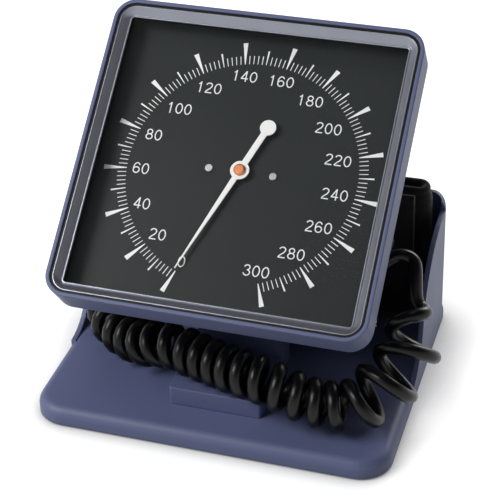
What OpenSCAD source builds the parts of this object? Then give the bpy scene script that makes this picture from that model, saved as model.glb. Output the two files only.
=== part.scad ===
// Desk-top blood pressure gauge on a moulded stand, with its coiled tube, cuff and bulb.
// Millimetres. The origin is on the table, under the centre of the stand, and the front faces -Y.

/* [Stand] */
// Width of the stand
base_w = 180; // [176:1:196]
// Depth of the stand
base_d = 148; // [146:1:160]
// Height of the plate's top above the table
plate_z = 10; // [9:0.5:12]
// Wall thickness of the stand
wall_t = 2.5; // [2:0.1:3]
// Rounding of the plate's upper edge
edge_r = 5; // [3:0.5:6]
// Plan radius of the plate's front corners
front_r = 16; // [10:1:20]
// Plan radius of the plate's rear corners
rear_r = 8; // [6:1:12]
// Height of the side walls above the table
side_z = 75; // [70:1:80]
// Height of the back wall above the table
back_z = 82; // [81:1:86]
// Forward lean of the back wall
back_lean = 5.5; // [4:0.5:6.5]
// Distance of the back wall's foot from the plate's rear edge
back_set = 5; // [5:0.5:6]

/* [Feet] */
// Diameter of a rubber foot
foot_d = 12; // [8:0.5:14]
// How far the feet lift the shell off the table
foot_gap = 1; // [0.5:0.1:1.5]

/* [Tilt post] */
// Width of the foot block
block_w = 47; // [44:1:50]
// Height of the foot block
block_h = 10; // [9:0.5:11]
// Distance of the block's front face from the plate's front edge
block_inset = 20; // [18:0.5:22]
// Thickness of the post, front to back
post_t = 15; // [12:0.5:16]
// Width of the post's head between the friction washers
head_w = 25.8; // [22:0.2:28]
// Diameter of the post's head and of the case ears
head_d = 18; // [16:0.5:19]
// Diameter of the tilt bolt
bolt_d = 6; // [5:0.5:7]
// Thickness of a friction washer
washer_t = 1; // [0.8:0.1:1.5]
// Thickness of a case ear
ear_t = 6; // [4:0.5:7]
// Diameter of the tilt knob
knob_d = 22; // [18:0.5:23]

/* [Gauge case] */
// Side of the square front bezel
case_w = 155.6; // [154:0.2:158]
// Radius of the bezel's corners
case_r = 11; // [10:0.5:14]
// Height of the bezel's lip above the dial
lip_h = 14; // [12:0.5:16]
// Width of the bezel's lip
lip_t = 1.9; // [1.5:0.1:2.5]
// Width of the black seal line
seal_t = 1.1; // [0.8:0.1:1.4]
// Thickness of the ledge that carries the dial plate
ledge_t = 2.2; // [1.8:0.1:3]
// Side of the rear case at its flange
tray_w = 124; // [120:1:126]
// Side of the rear case at its back
tray_back_w = 116; // [112:1:118]
// Depth of the rear case behind the dial
tray_depth = 28; // [27.5:0.5:30]
// Wall thickness of the rear case
tray_t = 2; // [1.6:0.1:2.4]
// Angle of the dial above the horizontal
dial_lean = 38.6; // [34:0.2:42]
// Height of the dial's centre above the table
dial_z = 116.4; // [115:0.2:120]
// Distance of the dial's centre behind the stand's centre
dial_y = -3.5; // [-5:0.5:-2]

/* [Dial and lens] */
// Thickness of the dial plate
dial_t = 1.2; // [0.8:0.1:1.6]
// Side of the opening inside the bright rim
window_w = 140; // [134:1:142]
// Height of the rim's inner edge above the dial
rim_low = 9.5; // [9:0.1:10.5]
// Height of the rim's outer edge above the dial
rim_high = 13.4; // [12:0.1:14]
// Thickness of the lens
lens_t = 2.2; // [1.5:0.1:2.6]
// Distance of each dial screw from the centre
dial_screw_x = 16; // [14:0.5:18]
// Radius at which the pointer's tip ends
pointer_r = 56.5; // [50:0.5:60]
// Radius of the centre of the pointer's round tail
tail_r = 25; // [20:0.5:28]
// Full sweep of the scale
sweep = 318.2; // [300:0.2:324]

/* [Movement] */
// Diameter of the movement's base plate
plate_d = 54; // [52:0.5:56]
// Pitch radius of the pinion
pinion_r = 1.6; // [1.4:0.05:1.8]
// Turns of the pinion for one turn of the sector
gear_ratio = 9; // [8:0.5:10]
// Diameter of the pressure capsule
capsule_d = 40; // [36:0.5:42]
// Number of turns of the hairspring
hair_turns = 4.5; // [3:0.5:5]

/* [Air line] */
// Outer diameter of the tube
tube_d = 6.8; // [6:0.1:6.9]
// Mean radius of the close curls
curl_r = 8.8; // [8:0.1:9.2]
// Mean radius of the curls that open at the right
wide_curl_r = 12.5; // [11:0.1:13]
// Number of curls
curls = 22; // [16:1:22]
// Length of the bulb
bulb_l = 84; // [76:1:86]
// Room kept free on each side of the bulb
bulb_gap = 1; // [0.5:0.1:1.5]
// Wall of the bulb
bulb_t = 2.5; // [2:0.1:3.5]

/* [Cuff] */
// Room kept free at each end of the folded cuff
cuff_end_gap = 5; // [3:0.5:10]
// Height of the folded cuff
cuff_h = 76; // [70:1:78]
// Thickness of one layer
layer_t = 7; // [6:0.1:7.2]

/* [Hidden] */
$fn = 48;
// Radial clearance of parts that turn in each other
run_gap = 0.05;
// Clearance of parts that drop into each other
fit_gap = 0.1;
// Gap between soft pieces and their neighbours
soft_gap = 0.3;
// Overlap that joins the shapes of one solid
bite = 0.5;
blue = [0.47, 0.51, 0.71];
black = [0.06, 0.06, 0.07];
steel = [0.75, 0.75, 0.77];
brass_tone = [0.78, 0.62, 0.32];

// Places in the stand
front_y = -base_d / 2;
rear_y = base_d / 2;
wall_y = rear_y - back_set;
wall_front_r = 25;
wall_top_r = 40;
wall_corner_r = 8;
wall_edge_y = rear_y - 67;
foot_x = base_w / 2 - 16;
foot_front_y = front_y + 16;
foot_rear_y = rear_y - 13;
foot_h = 2;
foot_stem_d = 5;
foot_stem_h = 4;
rib_t = 1.6;
rib_x = base_w * 0.22;
rib_y = base_d * 0.2;
rib_low = 3;

// Places of the post, the tilt axis and the dial
pivot_u = -35;
pivot_o = -tray_depth - 12;
pivot_y = dial_y + pivot_u * cos(dial_lean) - pivot_o * sin(dial_lean);
pivot_z = dial_z + pivot_u * sin(dial_lean) + pivot_o * cos(dial_lean);
block_front_y = front_y + block_inset;
post_rear_y = pivot_y + post_t / 3;
block_d = post_rear_y - block_front_y;
block_top = plate_z + block_h;
post_screw_d = 4;
post_screw_x = block_w / 2 - 7.5;
post_screw_y = [block_front_y + 9, post_rear_y - 8];
post_screw_grip = 7;
ear_x = head_w / 2 + washer_t;
ear_out = ear_x + ear_t;
knob_h = 13;
bolt_head_h = 4;

// Depths in the gauge, along the dial's normal
dial_back = -dial_t;
ledge_back = dial_back - ledge_t;
flange_t = 2.2;
flange_back = ledge_back - flange_t;
tray_floor = -tray_depth + tray_t;
lens_top = rim_low - 0.6;
lens_bottom = lens_top - lens_t;
seal_w = case_w - 2 * lip_t;
rim_w = seal_w - 2 * seal_t;
rim_skirt_t = 1.2;
lens_w = rim_w - 2 * rim_skirt_t - 2 * fit_gap;
ledge_w = tray_w - 6;
case_screw_x = tray_w / 2 + 4.2;
case_screw_d = 2.2;
case_screw_head_d = 5;

// Movement
bridge_top = -2.4;
bridge_t = 1.2;
bridge_bottom = bridge_top - bridge_t;
base_top = -13.6;
base_t = 1.4;
base_bottom = base_top - base_t;
bridge_d = plate_d - 5;
spindle_r = 0.6;
arbor_r = 0.75;
sector_r = pinion_r * gear_ratio;
sector_u = -(pinion_r + sector_r);
sector_top = -7;
sector_t = 1.2;
tooth_gap = 0.06;
pillar_r = 1.8;
pillar_ring = plate_d / 2 - 4;
pillar_angles = [30, 150, 270];
stand_off_r = 3;
stand_off_at = [[-12, 22], [12, 22], [22, -10]];
small_screw_r = 0.9;
small_head_r = 2.1;
small_head_h = 0.8;
rocker_o = -12;
rocker_u = sector_u + 1.75;
rocker_arm = 5;
lift = 1.85;
lift_room = 0.15;
pin_flange_t = 0.4;
rocker_x = [-15, -1.8];
push_x = -4.2;
capsule_x = -10;
capsule_u = rocker_u + rocker_arm;
capsule_top = base_bottom - pin_flange_t - lift - lift_room;
capsule_h = 7.4;
pin_r = 0.8;
inlet_x = -46;
inlet_u = -40;
inlet_reach = 10;
inlet_r = 4.5;
inner_o = capsule_top - capsule_h / 2;
inner_tube_r = 2.3;
hub_low = 1.2;
needle_low = 2.6;
needle_t = 0.6;
hub_r = 4.65;
cap_r = 2.85;
zero_angle = sweep / 2;

// Cuff, bladder and ports
layer_gap = 0.6;
layer_pitch = layer_t + layer_gap;
layers = 3;
cuff_l = base_w - 2 * wall_t - 2 * cuff_end_gap;
cuff_t = layers * layer_t + (layers - 1) * layer_gap;
cuff_wall_y = -wall_t - soft_gap;
cuff_low = (cuff_t - cuff_wall_y) * tan(back_lean) + soft_gap;
bladder_t = 1.8;
port_h = 60;
gauge_port_x = 64;
bulb_port_x = -4;
port_reach = 3;
connector_l = 16;
bladder_end = 2;
bladder_rim = 6;
patch_x = -cuff_l / 2 + 4.5;
patch_l = cuff_l * 0.17;
patch_t = 1.2;
patch_low = 10;
connector_r = 4.6;

// Bulb and valves
bulb_x = -4;
bulb_room = wall_y + (cuff_wall_y - cuff_t) * cos(back_lean) - cuff_h / 2 * sin(back_lean) - post_rear_y;
bulb_d = bulb_room - 2 * bulb_gap;
bulb_y = post_rear_y + bulb_gap + bulb_d / 2;
bulb_z = plate_z + bulb_d / 2 + soft_gap;
bulb_neck_r = 7.5;
valve_x = bulb_x + bulb_l / 2;
valve_l = 18;
valve_r = 6;
nipple_x = valve_x + 10;
nipple_h = 13;
needle_r = valve_r / 3;
needle_seat = valve_l * 0.35;
needle_end = valve_l * 0.72;

// Routes of the tube, chosen by hand
// Each point of the coil's axis has its x, y and z, the advance of one curl there, and how
// far the curls open
coil_route = [
    [-74, 9, 22.8, 8.1, 0], [-74, 0, 22.8, 10.75, 0], [-70, -10, 22.8, 10.75, 0], [-63, -18, 22.8, 9.85, 0],
    [-54, -24, 23, 8.9, 0], [-45, -29, 25, 10.1, 0], [-36, -33, 28.8, 11.6, 0], [-27, -37, 32.6, 11.3, 0],
    [-17, -41, 33.2, 8.6, 0], [-8, -44, 33.2, 7.95, 0], [2, -47, 33.2, 7.8, 0], [12, -50, 33.2, 8.7, 0],
    [22, -52.5, 33.3, 9.2, 0], [31, -54, 32, 9.6, 0], [41, -54.5, 28.8, 9.2, 0], [51, -54, 26.2, 9.1, 0],
    [61, -52.5, 25, 9.4, 0.1], [70, -49, 25.5, 14.5, 0.5], [78, -43, 30, 16.2, 0.9], [85, -35, 36, 17.7, 1],
    [89, -25, 43, 18.2, 1], [90, -14, 51, 18.2, 1], [87, -4, 59, 16.2, 0.7]
];
lead_route = [[-52, -1, 50], [-60, 9, 46], [-68, 20, 42], [-74, 29, 36], [-76, 32, 29], [-75.5, 29, 24]];
tail_route = [[83, 7.5, 74], [76, 9, 75], [68.5, 9, 71.5]];
bulb_route = [[48, 21, 53], [44, 22, 62], [34, 24, 68], [20, 26, 70], [8, 27, 70], [0, 29, 69]];

// Vector and curve functions
function unit(v) = v / norm(v);
function spline(a, b, c, d, t) =
    0.5 * (2 * b + t * (c - a) + t * t * (2 * a - 5 * b + 4 * c - d) + t * t * t * (3 * b - 3 * c + d - a));
function route_at(p, s) =
    let (last = len(p) - 1, k = min(last - 1, floor(s * last)), t = s * last - k)
    let (a = k > 0 ? p[k - 1] : 2 * p[0] - p[1])
    let (d = k < last - 1 ? p[k + 2] : 2 * p[last] - p[last - 1])
    spline(a, p[k], p[k + 1], d, t);
function smooth_route(p, n) = [for (i = [0:n]) route_at(p, i / n)];
function along(p, i) = unit(p[min(i + 1, len(p) - 1)] - p[max(i - 1, 0)]);
function carried(side, t) = unit(side - (side * t) * t);
function sides_along(p) =
    [for (i = 0, s = carried([0.3, 0.2, 1], along(p, 0)); i < len(p); i = i + 1,
        s = i < len(p) ? carried(s, along(p, i)) : s) s];
function least_gap(p, skip, d) =
    min([for (i = [0:len(p) - 1 - skip]) min([for (j = [i + skip:len(p) - 1]) norm(p[i] - p[j])])]) - d;

// Centre line of the coiled tube
curl_steps = 8;
coil_n = curls * curl_steps;
end_steps = 6;
fine = 8;
coil_fine = smooth_route(coil_route, fine * (len(coil_route) - 1));
curl_count = [
    for (i = 0, t = 0; i < len(coil_fine); i = i + 1,
        t = i < len(coil_fine) ? t + norm(place(coil_fine[i]) - place(coil_fine[i - 1])) /
            coil_fine[i][3] : t)
    [t, i]
];
curls_drawn = curl_count[len(curl_count) - 1][0];
function place(p) = [p[0], p[1], p[2]];
function ease(t) = t <= 0 ? 0 : t >= 1 ? 1 : t * t * (3 - 2 * t);
function coil_point(i) =
    let (last = len(coil_fine) - 1, s = lookup(curls_drawn * i / coil_n, curl_count) / last)
    let (c = route_at(coil_route, s), step = 0.1 / (len(coil_route) - 1))
    let (t = unit(place(route_at(coil_route, min(1, s + step))) - place(route_at(coil_route, max(0,
        s - step)))))
    let (side = unit(cross(t, [-0.5, -0.6, 1])), up = cross(side, t), turn = (i / curl_steps + 0.5) * 360)
    let (r = (curl_r + c[4] * (wide_curl_r - curl_r)) * ease(i / end_steps) * ease((coil_n - i) /
        end_steps))
    place(c) + r * (cos(turn) * side - sin(turn) * up);
coil_core = [for (i = [0:coil_n]) coil_point(i)];
coil_in = unit(place(coil_route[1]) - place(coil_route[0]));
coil_out = unit(coil_core[coil_n] - coil_core[coil_n - 1]);
coil_line = concat([coil_core[0] - tube_d * coil_in], coil_core, [coil_core[coil_n] + tube_d * coil_out]);
coil_gap = least_gap(coil_core, curl_steps - 3, tube_d);
echo(least_gap_of_coil = coil_gap);

// Places in the gauge's own frame: x across, u up the dial, o out of it
function in_stand(p) = [
    p[0],
    dial_y + p[1] * cos(dial_lean) - p[2] * sin(dial_lean),
    dial_z + p[1] * sin(dial_lean) + p[2] * cos(dial_lean)
];
inlet_end = in_stand([inlet_x, inlet_u, -tray_depth - inlet_reach]);
inlet_way = [0, sin(dial_lean), -cos(dial_lean)];
echo(pivot = [0, pivot_y, pivot_z], bulb = [bulb_x, bulb_y, bulb_z]);

module in_gauge() {
    translate([0, dial_y, dial_z]) rotate([dial_lean, 0, 0]) children();
}

module at_cuff() {
    translate([0, wall_y, plate_z]) rotate([back_lean, 0, 0]) children();
}

module rounded_plan(w, d, rf, rr) {
    for (s = [-1, 1]) {
        translate([s * (w / 2 - rf), -d / 2 + rf]) circle(r = rf);
        translate([s * (w / 2 - rr), d / 2 - rr]) circle(r = rr);
    }
    polygon([
        [-w / 2 + rf, -d / 2], [w / 2 - rf, -d / 2], [w / 2, -d / 2 + rf], [w / 2, d / 2 - rr],
        [w / 2 - rr, d / 2], [-w / 2 + rr, d / 2], [-w / 2, d / 2 - rr], [-w / 2, -d / 2 + rf]
    ]);
}

module square_slab(w, r, low, high) {
    translate([0, 0, low]) linear_extrude(high - low) rounded_plan(w, w, r, r);
}

module post(r, low, high) {
    translate([0, 0, low]) cylinder(r = r, h = high - low);
}

module cross_bar(r, x0, x1, sides = 48) {
    translate([x0, 0, 0]) rotate([0, 90, 0]) cylinder(r = r, h = x1 - x0, $fn = sides);
}

module tube_along(p, d, sides) {
    n = len(p);
    s = sides_along(p);
    points = [
        for (i = [0:n - 1])
            let (side = s[i], up = cross(along(p, i), side))
            for (k = [0:sides - 1]) p[i] + d / 2 * (cos(360 * k / sides) * side + sin(360 * k / sides) * up)
    ];
    walls = [
        for (i = [0:n - 2]) for (k = [0:sides - 1])
            let (a = i * sides + k, b = i * sides + (k + 1) % sides)
            each [[a, b + sides, b], [a, a + sides, b + sides]]
    ];
    caps = [[for (k = [0:sides - 1]) k], [for (k = [0:sides - 1]) n * sides - 1 - k]];
    polyhedron(points = points, faces = concat(walls, caps), convexity = 10);
}

// Stand

module plate_corner(x, y, r) {
    translate([x, y, foot_gap]) rotate_extrude($fn = 32) {
        square([r - edge_r, plate_z - foot_gap]);
        square([r, plate_z - foot_gap - edge_r]);
        translate([r - edge_r, plate_z - foot_gap - edge_r]) intersection() {
            circle(r = edge_r, $fn = 32);
            square(edge_r);
        }
    }
}

module plate_form() {
    hull() for (s = [-1, 1]) {
        plate_corner(s * (base_w / 2 - front_r), front_y + front_r, front_r);
        plate_corner(s * (base_w / 2 - rear_r), rear_y - rear_r, rear_r);
    }
}

// Outline of a side wall, seen from the side
module side_outline() {
    join_z = plate_z + wall_front_r;
    low = plate_z - edge_r;
    steps = 10;
    sweep_up = [for (i = [0:steps]) let (a = 270 + 90 * i / steps)
        [wall_edge_y - wall_front_r + wall_front_r * cos(a), join_z + wall_front_r * sin(a)]];
    over = [for (i = [0:steps]) let (a = 180 - 90 * i / steps)
        [wall_edge_y + wall_top_r + wall_top_r * cos(a), side_z - wall_top_r + wall_top_r * sin(a)]];
    polygon(concat(
        [[rear_y, low], [wall_edge_y - wall_front_r, low]], sweep_up, over,
        [[wall_y - 14, side_z], [wall_y - 14, back_z], [rear_y, back_z]]
    ));
}

module wall_form() {
    intersection() {
        at_cuff() translate([0, 0, -2 * plate_z]) linear_extrude(back_z + 3 * plate_z) difference() {
            translate([0, -base_d / 2]) rounded_plan(base_w, base_d, wall_t, rear_r);
            translate([0, -base_d / 2 - wall_t]) rounded_plan(base_w - 2 * wall_t, base_d, wall_t,
                rear_r - wall_t);
        }
        rotate([90, 0, 90]) translate([0, 0, -base_w / 2]) linear_extrude(base_w) side_outline();
        rotate([90, 0, 0]) translate([0, back_z / 2, -rear_y]) linear_extrude(base_d)
            rounded_plan(base_w, back_z, wall_t, wall_corner_r);
    }
}

module at_feet() {
    for (s = [-1, 1]) for (y = [foot_front_y, foot_rear_y]) translate([s * foot_x, y, 0]) children();
}

module at_post_screws() {
    for (s = [-1, 1]) for (y = post_screw_y) translate([s * post_screw_x, y, 0]) children();
}

module stand_shell() {
    under = plate_z - wall_t;
    color(blue) difference() {
        union() {
            difference() {
                plate_form();
                translate([0, 0, -bite]) linear_extrude(under + bite) rounded_plan(
                    base_w - 2 * wall_t, base_d - 2 * wall_t, front_r - wall_t, rear_r - wall_t);
            }
            wall_form();
            for (x = [-rib_x, 0, rib_x]) translate([x - rib_t / 2, front_y + wall_t / 2, rib_low])
                cube([rib_t, base_d - wall_t, under - rib_low + bite]);
            for (y = [-rib_y, rib_y]) translate([-base_w / 2 + wall_t / 2, y - rib_t / 2, rib_low])
                cube([base_w - wall_t, rib_t, under - rib_low + bite]);
            at_feet() post(foot_d / 2 + 2, foot_h, under + bite);
            at_post_screws() post(post_screw_d, under - wall_t, under + bite);
        }
        at_feet() post(foot_stem_d / 2 + run_gap, 0, foot_h + foot_stem_h);
        at_post_screws() post(post_screw_d / 2 + fit_gap, 0, plate_z + bite);
    }
}

module rubber_feet() {
    color(black) at_feet() {
        post(foot_d / 2, 0, foot_h);
        post(foot_stem_d / 2, 0, foot_h + foot_stem_h - fit_gap);
    }
}

module post_screws() {
    head_low = plate_z - 2 * wall_t - 2.4;
    color(steel) at_post_screws() {
        post(post_screw_d - 0.6, head_low, plate_z - 2 * wall_t);
        post(post_screw_d / 2, head_low, plate_z + post_screw_grip);
    }
}

module tilt_post() {
    inner_top = block_top - wall_t;
    neck_z = pivot_z - head_d / 2 - 1.5;
    color(blue) difference() {
        union() {
            translate([0, (block_front_y + post_rear_y) / 2, plate_z]) linear_extrude(block_h)
                rounded_plan(block_w, block_d, 1.5, 1.5);
            hull() {
                translate([-block_w / 2, post_rear_y - post_t, block_top - bite])
                    cube([block_w, post_t, 2 * bite]);
                translate([-head_w / 2, post_rear_y - post_t, neck_z - bite]) cube([head_w, post_t, bite]);
            }
            hull() {
                translate([-head_w / 2, post_rear_y - post_t, neck_z - bite]) cube([head_w, post_t, bite]);
                translate([0, pivot_y, pivot_z]) cross_bar(head_d / 2 - 1, -head_w / 2, head_w / 2, 32);
            }
            translate([0, pivot_y, pivot_z]) cross_bar(head_d / 2, -head_w / 2, head_w / 2);
        }
        difference() {
            translate([-block_w / 2 + wall_t, block_front_y + wall_t, plate_z - bite])
                cube([block_w - 2 * wall_t, block_d - 2 * wall_t, inner_top - plate_z + bite]);
            at_post_screws() post(post_screw_d, 0, block_top);
        }
        at_post_screws() post(post_screw_d / 2, 0, plate_z + post_screw_grip + fit_gap);
        translate([0, pivot_y, pivot_z]) cross_bar(bolt_d / 2 + run_gap, -head_w, head_w);
    }
}

module tilt_bolt() {
    color(steel) translate([0, pivot_y, pivot_z]) {
        cross_bar(bolt_d / 2, -ear_out - bolt_head_h, ear_out + knob_h - 3);
        cross_bar(bolt_d * 0.85, -ear_out - bolt_head_h, -ear_out, 6);
    }
}

module tilt_knob() {
    lobes = 8;
    color(black) translate([0, pivot_y, pivot_z]) difference() {
        union() {
            cross_bar(knob_d / 2 - 4, ear_out, ear_out + 3);
            cross_bar(knob_d / 2 - 1, ear_out + 3, ear_out + knob_h);
            for (i = [0:lobes - 1]) rotate([360 * i / lobes, 0, 0]) translate([0, knob_d / 2 - 2.5, 0])
                cross_bar(2.5, ear_out + 3, ear_out + knob_h - 1);
        }
        cross_bar(bolt_d / 2 + run_gap, ear_out - 1, ear_out + knob_h - 3 + fit_gap);
    }
}

module friction_washers() {
    color("dimgray") translate([0, pivot_y, pivot_z]) for (s = [-1, 1]) difference() {
        cross_bar(head_d / 2 - 1, s > 0 ? head_w / 2 : -ear_x, s > 0 ? ear_x : -head_w / 2);
        cross_bar(bolt_d / 2 + fit_gap, -ear_x - 1, ear_x + 1);
    }
}

// Gauge case

module at_case_screws() {
    for (x = [-1, 1]) for (u = [-1, 1]) translate([x * case_screw_x, u * case_screw_x, 0]) children();
}

module front_bezel() {
    color(blue) in_gauge() difference() {
        square_slab(case_w, case_r, ledge_back, lip_h);
        square_slab(seal_w, case_r - lip_t, dial_back, lip_h + bite);
        square_slab(ledge_w, case_r, ledge_back - bite, lip_h);
        at_case_screws() post(case_screw_d / 2, ledge_back - bite, dial_back + bite);
    }
}

module bezel_seal() {
    color(black) in_gauge() difference() {
        square_slab(seal_w, case_r - lip_t, rim_low, rim_high);
        square_slab(rim_w, case_r - lip_t - seal_t, rim_low - bite, rim_high + bite);
    }
}

module inner_rim() {
    rim_r = case_r - lip_t - seal_t;
    window_r = 1.2;
    color(steel) in_gauge() difference() {
        square_slab(rim_w, rim_r, 0, rim_high);
        square_slab(rim_w - 2 * rim_skirt_t, rim_r - rim_skirt_t, -bite, lens_top);
        square_slab(window_w, window_r, 0, rim_low + bite);
        hull() {
            square_slab(window_w, window_r, rim_low, rim_low + 0.01, $fn = 32);
            square_slab(rim_w - 1, rim_r - 0.5, rim_high, rim_high + 0.1, $fn = 32);
        }
    }
}

module lens() {
    color([0.8, 0.85, 0.9, 0.3]) in_gauge() square_slab(lens_w, case_r - 4, lens_bottom, lens_top);
}

module lens_gasket() {
    color(black) in_gauge() difference() {
        square_slab(lens_w, case_r - 4, 0, lens_bottom);
        square_slab(lens_w - 2.4, case_r - 5.2, -bite, lens_top);
    }
}

module dial_plate() {
    color([0.13, 0.16, 0.16]) in_gauge() difference() {
        square_slab(seal_w - 2 * fit_gap, case_r - lip_t, dial_back, 0);
        post(hub_r - 1.4, dial_back - bite, bite);
        for (s = [-1, 1]) translate([s * dial_screw_x, 0, 0])
            post(small_screw_r + fit_gap, dial_back - bite, bite);
    }
}

module dial_screws() {
    color(steel) in_gauge() for (s = [-1, 1]) translate([s * dial_screw_x, 0, 0]) {
        post(small_screw_r, bridge_bottom, small_head_h);
        post(small_head_r - 0.3, 0, small_head_h);
    }
}

module rear_case() {
    flange_w = seal_w - 8;
    inner_r = case_r - tray_t;
    color(blue) in_gauge() difference() {
        union() {
            square_slab(flange_w, case_r, flange_back, ledge_back);
            hull() {
                square_slab(tray_w, case_r, flange_back, ledge_back, $fn = 32);
                square_slab(tray_back_w, case_r, -tray_depth, -tray_depth + 3, $fn = 32);
            }
            for (s = [-1, 1]) translate([s > 0 ? ear_x : -ear_out, pivot_u, 0]) {
                translate([0, -head_d / 2, pivot_o]) cube([ear_t, head_d, -tray_depth - pivot_o + bite]);
                translate([0, 0, pivot_o]) cross_bar(head_d / 2, 0, ear_t);
            }
        }
        difference() {
            hull() {
                square_slab(ledge_w, inner_r, flange_back, ledge_back + bite, $fn = 32);
                square_slab(tray_back_w - 2 * tray_t, inner_r, tray_floor, tray_floor + 3, $fn = 32);
            }
            for (p = stand_off_at) translate([p[0], p[1], 0]) post(stand_off_r, -tray_depth, base_bottom);
        }
        for (p = stand_off_at) translate([p[0], p[1], 0]) post(small_screw_r, base_bottom - 5, base_top);
        at_case_screws() post(case_screw_d / 2 + 0.3, flange_back - bite, ledge_back + bite);
        translate([inlet_x, inlet_u, 0]) post(inlet_r - 1 + fit_gap, -tray_depth - 1, tray_floor + 1);
        translate([0, pivot_u, pivot_o]) cross_bar(bolt_d / 2 + run_gap, -ear_out - 1, ear_out + 1);
    }
}

module case_screws() {
    color(steel) in_gauge() at_case_screws() {
        post(case_screw_d / 2, flange_back - 1.6, dial_back - fit_gap);
        post(case_screw_head_d / 2, flange_back - 1.6, flange_back);
    }
}

module inlet_fitting() {
    stem_r = inlet_r - 1;
    reach = [capsule_x - inlet_x, capsule_u - inlet_u];
    color(brass_tone) in_gauge() translate([inlet_x, inlet_u, 0]) {
        difference() {
            union() {
                post(inlet_r, -tray_depth - inlet_reach, -tray_depth);
                post(inlet_r + 1.5, -tray_depth - 2, -tray_depth);
                post(stem_r, -tray_depth - 1, inner_o + stem_r);
                translate([0, 0, inner_o]) rotate([0, 90, atan2(reach[1], reach[0])])
                    post(inner_tube_r, 0, stem_r + 4);
            }
            post(1.2, -tray_depth - inlet_reach - 1, inner_o);
            translate([0, 0, inner_o]) rotate([0, 90, atan2(reach[1], reach[0])]) post(1, 0, stem_r + 5);
        }
    }
}

module inner_tube() {
    reach = [capsule_x - inlet_x, capsule_u - inlet_u];
    far = norm(reach) - capsule_d / 2 - 3;
    color(black) in_gauge() translate([inlet_x, inlet_u, inner_o])
        rotate([0, 90, atan2(reach[1], reach[0])]) difference() {
            post(inner_tube_r, inlet_r + 3, far);
            post(1.2, inlet_r + 2, far + 1);
        }
}

// Movement

module at_pillars() {
    for (a = pillar_angles) translate([pillar_ring * cos(a), pillar_ring * sin(a), 0]) children();
}

module at_capsule() {
    translate([capsule_x, capsule_u, 0]) children();
}

module movement_base() {
    lug_u = 1.8;
    lug_high = rocker_o + 1.6;
    color(brass_tone) in_gauge() difference() {
        union() {
            post(plate_d / 2, base_bottom, base_top);
            for (x = [rocker_x[0] + 0.8, rocker_x[1] - 1.4])
                translate([x, rocker_u - lug_u, base_top - bite])
                cube([1.2, 2 * lug_u, lug_high - base_top + bite]);
        }
        post(spindle_r + run_gap, base_bottom - bite, base_top + bite);
        translate([0, sector_u, 0]) post(arbor_r + run_gap, base_bottom - bite, base_top + bite);
        at_pillars() post(small_screw_r, base_bottom - bite, base_top + bite);
        for (p = stand_off_at) translate([p[0], p[1], 0])
            post(small_screw_r + fit_gap, base_bottom - bite, base_top + bite);
        at_capsule() post(pin_r + run_gap, base_bottom - bite, base_top + bite);
        translate([0, rocker_u, rocker_o]) cross_bar(arbor_r + run_gap, rocker_x[0] - 1, rocker_x[1] + 1);
    }
}

module movement_bridge() {
    color(brass_tone) in_gauge() difference() {
        union() {
            post(bridge_d / 2, bridge_bottom, bridge_top);
            for (s = [-1, 1]) translate([s * dial_screw_x, 0, 0]) post(2.2, bridge_bottom, dial_back);
            translate([hair_r(hair_turns) + 0.85, 0, 0]) post(0.5, hair_low - 0.2, bridge_bottom + bite);
        }
        post(spindle_r + run_gap, bridge_bottom - bite, dial_back + bite);
        translate([0, sector_u, 0]) post(arbor_r + run_gap, bridge_bottom - bite, bridge_top + bite);
        at_pillars() post(small_screw_r + fit_gap, bridge_bottom - bite, bridge_top + bite);
        for (s = [-1, 1]) translate([s * dial_screw_x, 0, 0])
            post(small_screw_r, bridge_bottom - bite, dial_back + bite);
    }
}

module movement_pillars() {
    color(steel) in_gauge() at_pillars() difference() {
        post(pillar_r, base_top, bridge_bottom);
        post(small_screw_r, bridge_bottom - 4, bridge_bottom + bite);
    }
}

module pillar_screws() {
    color(steel) in_gauge() at_pillars() {
        post(small_screw_r, bridge_bottom - 3.8, bridge_top + small_head_h);
        post(small_head_r, bridge_top, bridge_top + small_head_h);
    }
}

module movement_screws() {
    color(steel) in_gauge() for (p = stand_off_at) translate([p[0], p[1], 0]) {
        post(small_screw_r, base_bottom - 4.8, base_top + small_head_h);
        post(small_head_r, base_top, base_top + small_head_h);
    }
}

// Half of the capsule's section, with ring corrugations
module capsule_section(inset) {
    rings = 5;
    r = capsule_d / 2 - inset;
    half = capsule_h / 2 - inset;
    wave = 0.5;
    top = [for (i = [0:2 * rings]) [r * 0.25 + r * 0.65 * i / (2 * rings), half - 0.9 + wave * (i % 2)]];
    low = [for (i = [2 * rings:-1:0]) [top[i][0], -top[i][1]]];
    polygon(concat([[0, half], [r * 0.2, half]], top, [[r, 0.6], [r, -0.6]], low, [[r * 0.2, -half], [0,
        -half]]));
}

module pressure_capsule() {
    turn = atan2(inlet_u - capsule_u, inlet_x - capsule_x);
    color("gold") in_gauge() at_capsule() translate([0, 0, inner_o]) difference() {
        union() {
            rotate_extrude() capsule_section(0);
            rotate([0, 90, turn]) post(inner_tube_r, capsule_d / 2 - 1.5, capsule_d / 2 + 3);
            post(3, tray_floor - inner_o, -capsule_h / 2 + 0.4);
        }
        rotate_extrude() capsule_section(0.5);
        rotate([0, 90, turn]) post(1.2, capsule_d / 2 - 3, capsule_d / 2 + 4);
    }
}

module capsule_pin() {
    color(steel) in_gauge() at_capsule() {
        post(pin_r, capsule_top, rocker_o - 0.6);
        post(3, capsule_top + run_gap, capsule_top + pin_flange_t);
    }
}

module rocking_shaft() {
    arm_t = 1;
    push_top = sector_top + 0.4;
    color(steel) in_gauge() translate([0, rocker_u, rocker_o]) {
        cross_bar(arbor_r, rocker_x[0], rocker_x[1]);
        translate([capsule_x - 1.2, 0, -arm_t / 2]) cube([2.4, rocker_arm + 1.4, arm_t]);
        translate([push_x - 0.6, -0.6, 0]) cube([1.2, 1.2, push_top - rocker_o]);
    }
}

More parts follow.
